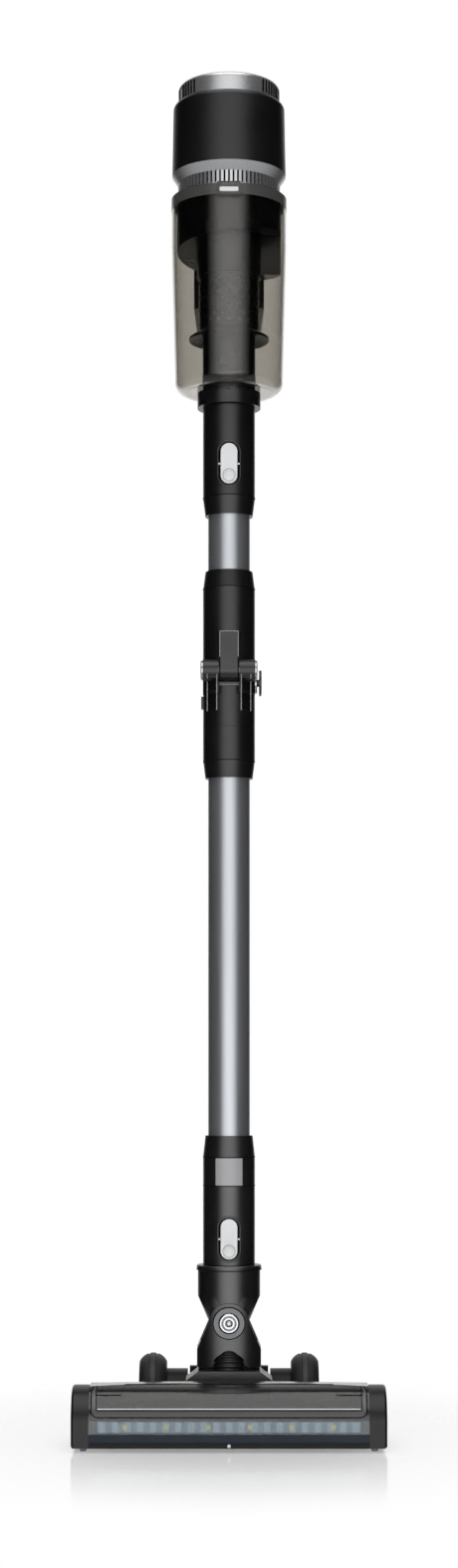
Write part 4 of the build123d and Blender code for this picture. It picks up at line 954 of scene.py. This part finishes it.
def roundedOutline(half, low, top, corner, steps=8):
    centres = [(half - corner, top - corner, 0), (corner - half, top - corner, 90),
               (corner - half, low + corner, 180), (half - corner, low + corner, 270)]
    outline = []
    for x, z, start in centres:
        for step in range(steps + 1):
            turn = math.radians(start + 90 * step / steps)
            outline.append((x + corner * math.cos(turn), z + corner * math.sin(turn)))
    return outline


def makeWindowFrame():
    skin = skinOf("brush_window")
    edge = roundedOutline(window["halfMm"], window["lowMm"], window["topMm"], window["cornerMm"])
    pane = roundedOutline(window["paneHalfMm"], window["paneLowMm"], window["topMm"], window["paneCornerMm"])
    ledge = [(side * window["ledgeHalfMm"], window["ledgeMm"]) for side, _ in sides]
    # the matt black lines along the frame and the pane are painted shade of the frame's step; the light grey
    # line at the ledge is a painted highlight
    black = ("mattBlackSeal", "gloss_black", "floor_head", True)
    layBand("windowBevel", skin, edge, pane, "frameGreyAbs", "gloss_black", "floor_head", True)
    layLine("windowFrame", skin, edge, trim["beadMm"], *black)
    layLine("windowPane", skin, pane, trim["seamMm"], *black)
    layLine("windowLedgeHighlight", skin, ledge, trim["beadMm"], "lightGreyAbs", "light_grey", "floor_head")


knee = {  # heights count from the hinge
    "edgeMm": 9.9, "rimMm": 17.6, "edgeSpanMm": (-32.0, -4.0), "barMm": -11.0,
    "shadowMm": (10.7, 16.8), "shadowSpanMm": (-31.0, -7.0),
    "tongueMm": 7.4, "tongueSpanMm": (10.0, 30.6), "footSpanMm": (-7.0, 10.0),
    "gapMm": 8.7, "gapSpanMm": (11.0, 31.6),
    "apronHalfMm": 7.8, "apronRadiusMm": 20.4, "apronBackMm": 18.1, "apronSpanMm": (-44.7, -12.2),
    "bezelMm": (3.6, 8.6), "bezelReachMm": (17.8, 22.8), "bezelRoundMm": 0.5,
}


def makeKneeTrim():
    hinge = nodeCentre("knee_pin").z / mm
    lower, upper = skinOf("knee_lower_body"), skinOf("knee_upper_body")

    def upright(x, span):
        return [(x, hinge + height) for height in span]

    # the mid grey beads on the crossbar, the clevis edges and the tongue's rim are painted highlights; the
    # matt black bands and lines beside the tongue are painted shade
    bead, grey = trim["beadMm"], ("midGreyAbs", "mid_grey")
    bar = [(side * knee["edgeMm"], hinge + knee["barMm"]) for side, _ in sides]
    layLine("kneeCrossBarHighlight", lower, bar, bead, *grey, "lower_wand")
    for side, label in sides:
        for part in ("edge", "rim"):
            line = upright(side * knee[part + "Mm"], knee["edgeSpanMm"])
            layLine("knee" + part.title() + label, lower, line, bead, *grey, "lower_wand")
    for side, label in sides:
        near, far = (upright(side * reach, knee["shadowSpanMm"]) for reach in knee["shadowMm"])
        layBand("kneeShadow" + label, lower, near, far, *jointAndShade, "lower_wand")
    half = knee["tongueMm"]
    rim = upright(-half, knee["tongueSpanMm"]) + upright(half, knee["tongueSpanMm"][::-1])
    layLine("tongueRim", upper, rim, trim["seamMm"], *grey, "upper_wand")
    for side, label in sides:
        foot, gap = upright(side * half, knee["footSpanMm"]), upright(side * knee["gapMm"], knee["gapSpanMm"])
        layLine("tongueEdge" + label, upper, foot, bead, *jointAndShade, "upper_wand")
        layLine("tongueGap" + label, upper, gap, bead, *jointAndShade, "upper_wand")


def makeKneeApron():
    # a crowned panel in the recess under the crossbar, so that it shades like the barrel around it
    hinge = nodeCentre("knee_pin").z
    half, radius, back = knee["apronHalfMm"], knee["apronRadiusMm"], knee["apronBackMm"]
    across = [half * (step / 8 - 1) for step in range(17)]  # from edge to edge in 16 steps
    outline = [(x, math.sqrt(radius ** 2 - x ** 2)) for x in across] + [(half, back), (-half, back)]
    shape = bmesh.new()
    rings = []
    for height in knee["apronSpanMm"]:
        ring = [shape.verts.new((x * mm, wandY - depth * mm, hinge + height * mm)) for x, depth in outline]
        shape.faces.new(ring)
        rings.append(ring)
    bridge(shape, *rings)
    seat(pieceFrom(shape, "kneeApron", "glossBlackAbs"), "lower_wand")


def makeKneeBezel():
    inner, outer = knee["bezelMm"]
    base, face = knee["bezelReachMm"]
    edge = knee["bezelRoundMm"]
    centre = nodeCentre("knee_button")
    centre.x = 0
    outline = [(inner, base), (outer, base), (outer, face - edge), (outer - edge, face), (inner, face)]
    bezel = turnedPiece("kneeBezel", "turnedSteel", outline, "X", centre, closed=True)
    seat(bezel, "lower_wand")


binRim = {"spanMm": (1003.0, 1011.6), "proudMm": 0.25, "sunkMm": 0.3}


def makeBinRim():
    low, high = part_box("bin_shell")
    radius = (high.x - low.x) / 2 / mm
    inner, outer = radius - binRim["sunkMm"], radius + binRim["proudMm"]
    bottom, top = binRim["spanMm"]
    outline = [(inner, bottom), (outer, bottom), (outer, top), (inner, top)]
    rim = turnedPiece("binRim", "milkyRim", outline, "Z", Vector((0, binY, 0)), 120, True)
    seat(rim, "dust_bin")


surround = {"gapMm": 1.0, "gapBeadMm": 0.9, "lipMm": 2.3, "lipBeadMm": 0.45, "dimpleBeadMm": 0.25,
            "dimpleSteps": 40}


def makeSurround(node, collar, body):
    skin = skinOf(collar)
    centreZ = nodeCentre(node).z / mm
    width, length = button["widthMm"], button["lengthMm"]
    # the matt black bead in the gap round the button is painted shade, the gloss lip outside it catches real
    # light, and the mid grey ring round the dimple is painted shade at its edge
    for part, look in (("gap", "mattBlackSeal"), ("lip", "neckBlackAbs")):
        wider = 2 * surround[part + "Mm"]
        outline = pillOutline(width + wider, length + wider, 16, 15.5)
        outline = [(x, centreZ + z) for x, z in outline]
        radius = surround[part + "BeadMm"]
        layLine(node + part.title(), skin, outline, radius, look, "gloss_black", body, True)
    low = centreZ - (length - width) / 2
    centre = Vector((0, wandY - button["frontMm"] * mm, low * mm))
    ring = frontCircle(centre, button["dimpleRadiusMm"], surround["dimpleSteps"])
    layBead(node + "DimpleRim", ring, surround["dimpleBeadMm"], "midGreyAbs", "mid_grey", node, True)


makeSeams()
makeWindowFrame()
makeKneeTrim()
makeKneeApron()
makeKneeBezel()
makeBinRim()
makeSurround("lower_button", "lower_collar", "lower_wand")
makeSurround("upper_button", "upper_collar", "upper_wand")
print("trim laid")


# studio

studio = {
    "cameraDistance": 2.215, "cameraHeight": 0.313,  # level camera in front of the wand
    "focalPixels": 2724, "horizonRow": 1061, "imageHeight": 1575, "sensorMm": 36.0,
    "frontLevel": 2.1, "frontEdge": (-0.66, -1.0), "riseEdge": (0.55, 0.2),  # soft light in front, along -Y
    "lowLevel": 2.6, "lowEdge": (-0.03, -0.11),  # the lit floor in front of the object
    "topLevel": 2.4, "topEdge": (36.0, 42.0), "pastEdge": (100.0, 96.0),  # softbox above, in degrees
    "backLevel": 1.0, "backEdge": (0.25, 0.6), "sideEdge": (0.6, 0.3),  # white sheet behind, not wide
    "underLevel": 0.5, "underEdge": (-0.25, -0.6), "dimLevel": 0.005,
    "fillSize": (2.0, 2.0), "fillPlace": (0.0, -2.0, 0.9), "fillTarget": (0.0, 0.0, 0.5), "fillWatts": 9.0,
    "floorSize": 6.0, "floorReach": (0.10, 0.42), "floorShare": 0.7, "floorGloss": 0.5, "floorRough": 0.12,
    "floorColour": "#f7f7f7",
}


def makeCamera():
    camera = bpy.data.cameras.new("photoCamera")
    camera.sensor_width = studio["sensorMm"]
    camera.lens = studio["focalPixels"] / studio["imageHeight"] * studio["sensorMm"]
    camera.shift_y = (studio["horizonRow"] - studio["imageHeight"] / 2) / studio["imageHeight"]
    holder = addObject("photoCamera", camera)
    holder.location = (0, wandY - studio["cameraDistance"], studio["cameraHeight"])
    holder.rotation_euler = (math.pi / 2, 0, 0)
    bpy.context.scene.camera = holder


def makeFill():
    light = bpy.data.lights.new("fillSoftbox", "AREA")
    light.shape = "RECTANGLE"
    light.size, light.size_y = studio["fillSize"]
    light.energy = studio["fillWatts"]
    holder = addObject("fillSoftbox", light)
    holder.location = studio["fillPlace"]
    aim = Vector(studio["fillTarget"]) - Vector(studio["fillPlace"])
    holder.rotation_euler = aim.to_track_quat("-Z", "Y").to_euler()
    holder.visible_camera = False
    holder.visible_glossy = False  # fills the matt colours and leaves the highlights to the world


def makeWorld():
    # white to the camera and through clear parts; in reflections soft walls of light and dim sides
    world = bpy.data.worlds.new("studioWorld")
    bpy.context.scene.world = world
    world.use_nodes = True
    world.node_tree.nodes.clear()
    add = partial(addNode, world.node_tree)
    x, y, z = add("SeparateXYZ", (add("TexCoord").outputs["Generated"],)).outputs
    path = add("LightPath").outputs
    straight = add("Math", (path["Glossy Depth"], 0.5), operation="LESS_THAN")
    # seen through the clear walls, but not in a mirror
    through = add("Math", (path["Is Transmission Ray"], straight), operation="MULTIPLY")
    glows = [add("Math", (path["Is Camera Ray"], through), operation="MAXIMUM")]
    aside = add("Math", (x,), operation="ABSOLUTE")
    rise = add("Math", (z, add("Math", (y, -1.0), operation="MULTIPLY")), operation="ARCTAN2")
    rise = add("Math", (rise, 180 / math.pi), operation="MULTIPLY")
    zones = {}
    for zone, along in (("front", y), ("rise", z), ("low", z), ("top", rise), ("past", rise), ("back", y),
                        ("side", aside), ("under", z)):
        start, full = studio[zone + "Edge"]
        zones[zone] = add("MapRange", {"Value": along, "From Min": start, "From Max": full},
                          interpolation_type="SMOOTHSTEP")
    step = studio["lowLevel"] - studio["frontLevel"]
    boost = add("Math", (zones["low"], step, studio["frontLevel"]), operation="MULTIPLY_ADD")
    for wall, level, limits in (("front", boost, ["rise"]), ("top", studio["topLevel"], ["past", "side"]),
                                ("back", studio["backLevel"], ["side"]), ("under", studio["underLevel"], [])):
        glow = zones[wall]
        for factor in [*(zones[limit] for limit in limits), level]:
            glow = add("Math", (glow, factor), operation="MULTIPLY")
        glows.append(glow)
    brightest = studio["dimLevel"]
    for glow in glows:
        brightest = add("Math", (brightest, glow), operation="MAXIMUM")
    sky = add("Background", {"Color": (1, 1, 1, 1), "Strength": brightest})
    add("OutputWorld", {"Surface": sky})


def makeFloor():
    # polished white acrylic: near the object a faint mirror image and a soft shadow, further out plain white
    half = studio["floorSize"] / 2
    mesh = bpy.data.meshes.new("studioFloor")
    corners = [(-half, -half, 0), (half, -half, 0), (half, half, 0), (-half, half, 0)]
    mesh.from_pydata(corners, [], [(0, 1, 2, 3)])
    add, place = startMaterial("whiteAcrylicFloor")
    near, far = studio["floorReach"]
    share = add("MapRange", {
        "Value": add("VectorMath", (place,), operation="LENGTH").outputs["Value"], "From Min": near,
        "From Max": far, "To Min": studio["floorShare"], "To Max": 0.0}, interpolation_type="SMOOTHSTEP")
    matt = add("BsdfDiffuse", {"Color": toLinear(studio["floorColour"])})
    gloss = add("BsdfAnisotropic", {"Color": (1, 1, 1, 1), "Roughness": studio["floorRough"]})
    shine = add("MixShader", (studio["floorGloss"], matt, gloss))
    add("OutputMaterial", {"Surface": add("MixShader", (share, add("BsdfTransparent"), shine))})
    newPiece("studioFloor", mesh, "whiteAcrylicFloor", False)


makeCamera()
makeWorld()
makeFloor()
makeFill()
bpy.context.scene.view_settings.view_transform = "Standard"
print("studio ready")
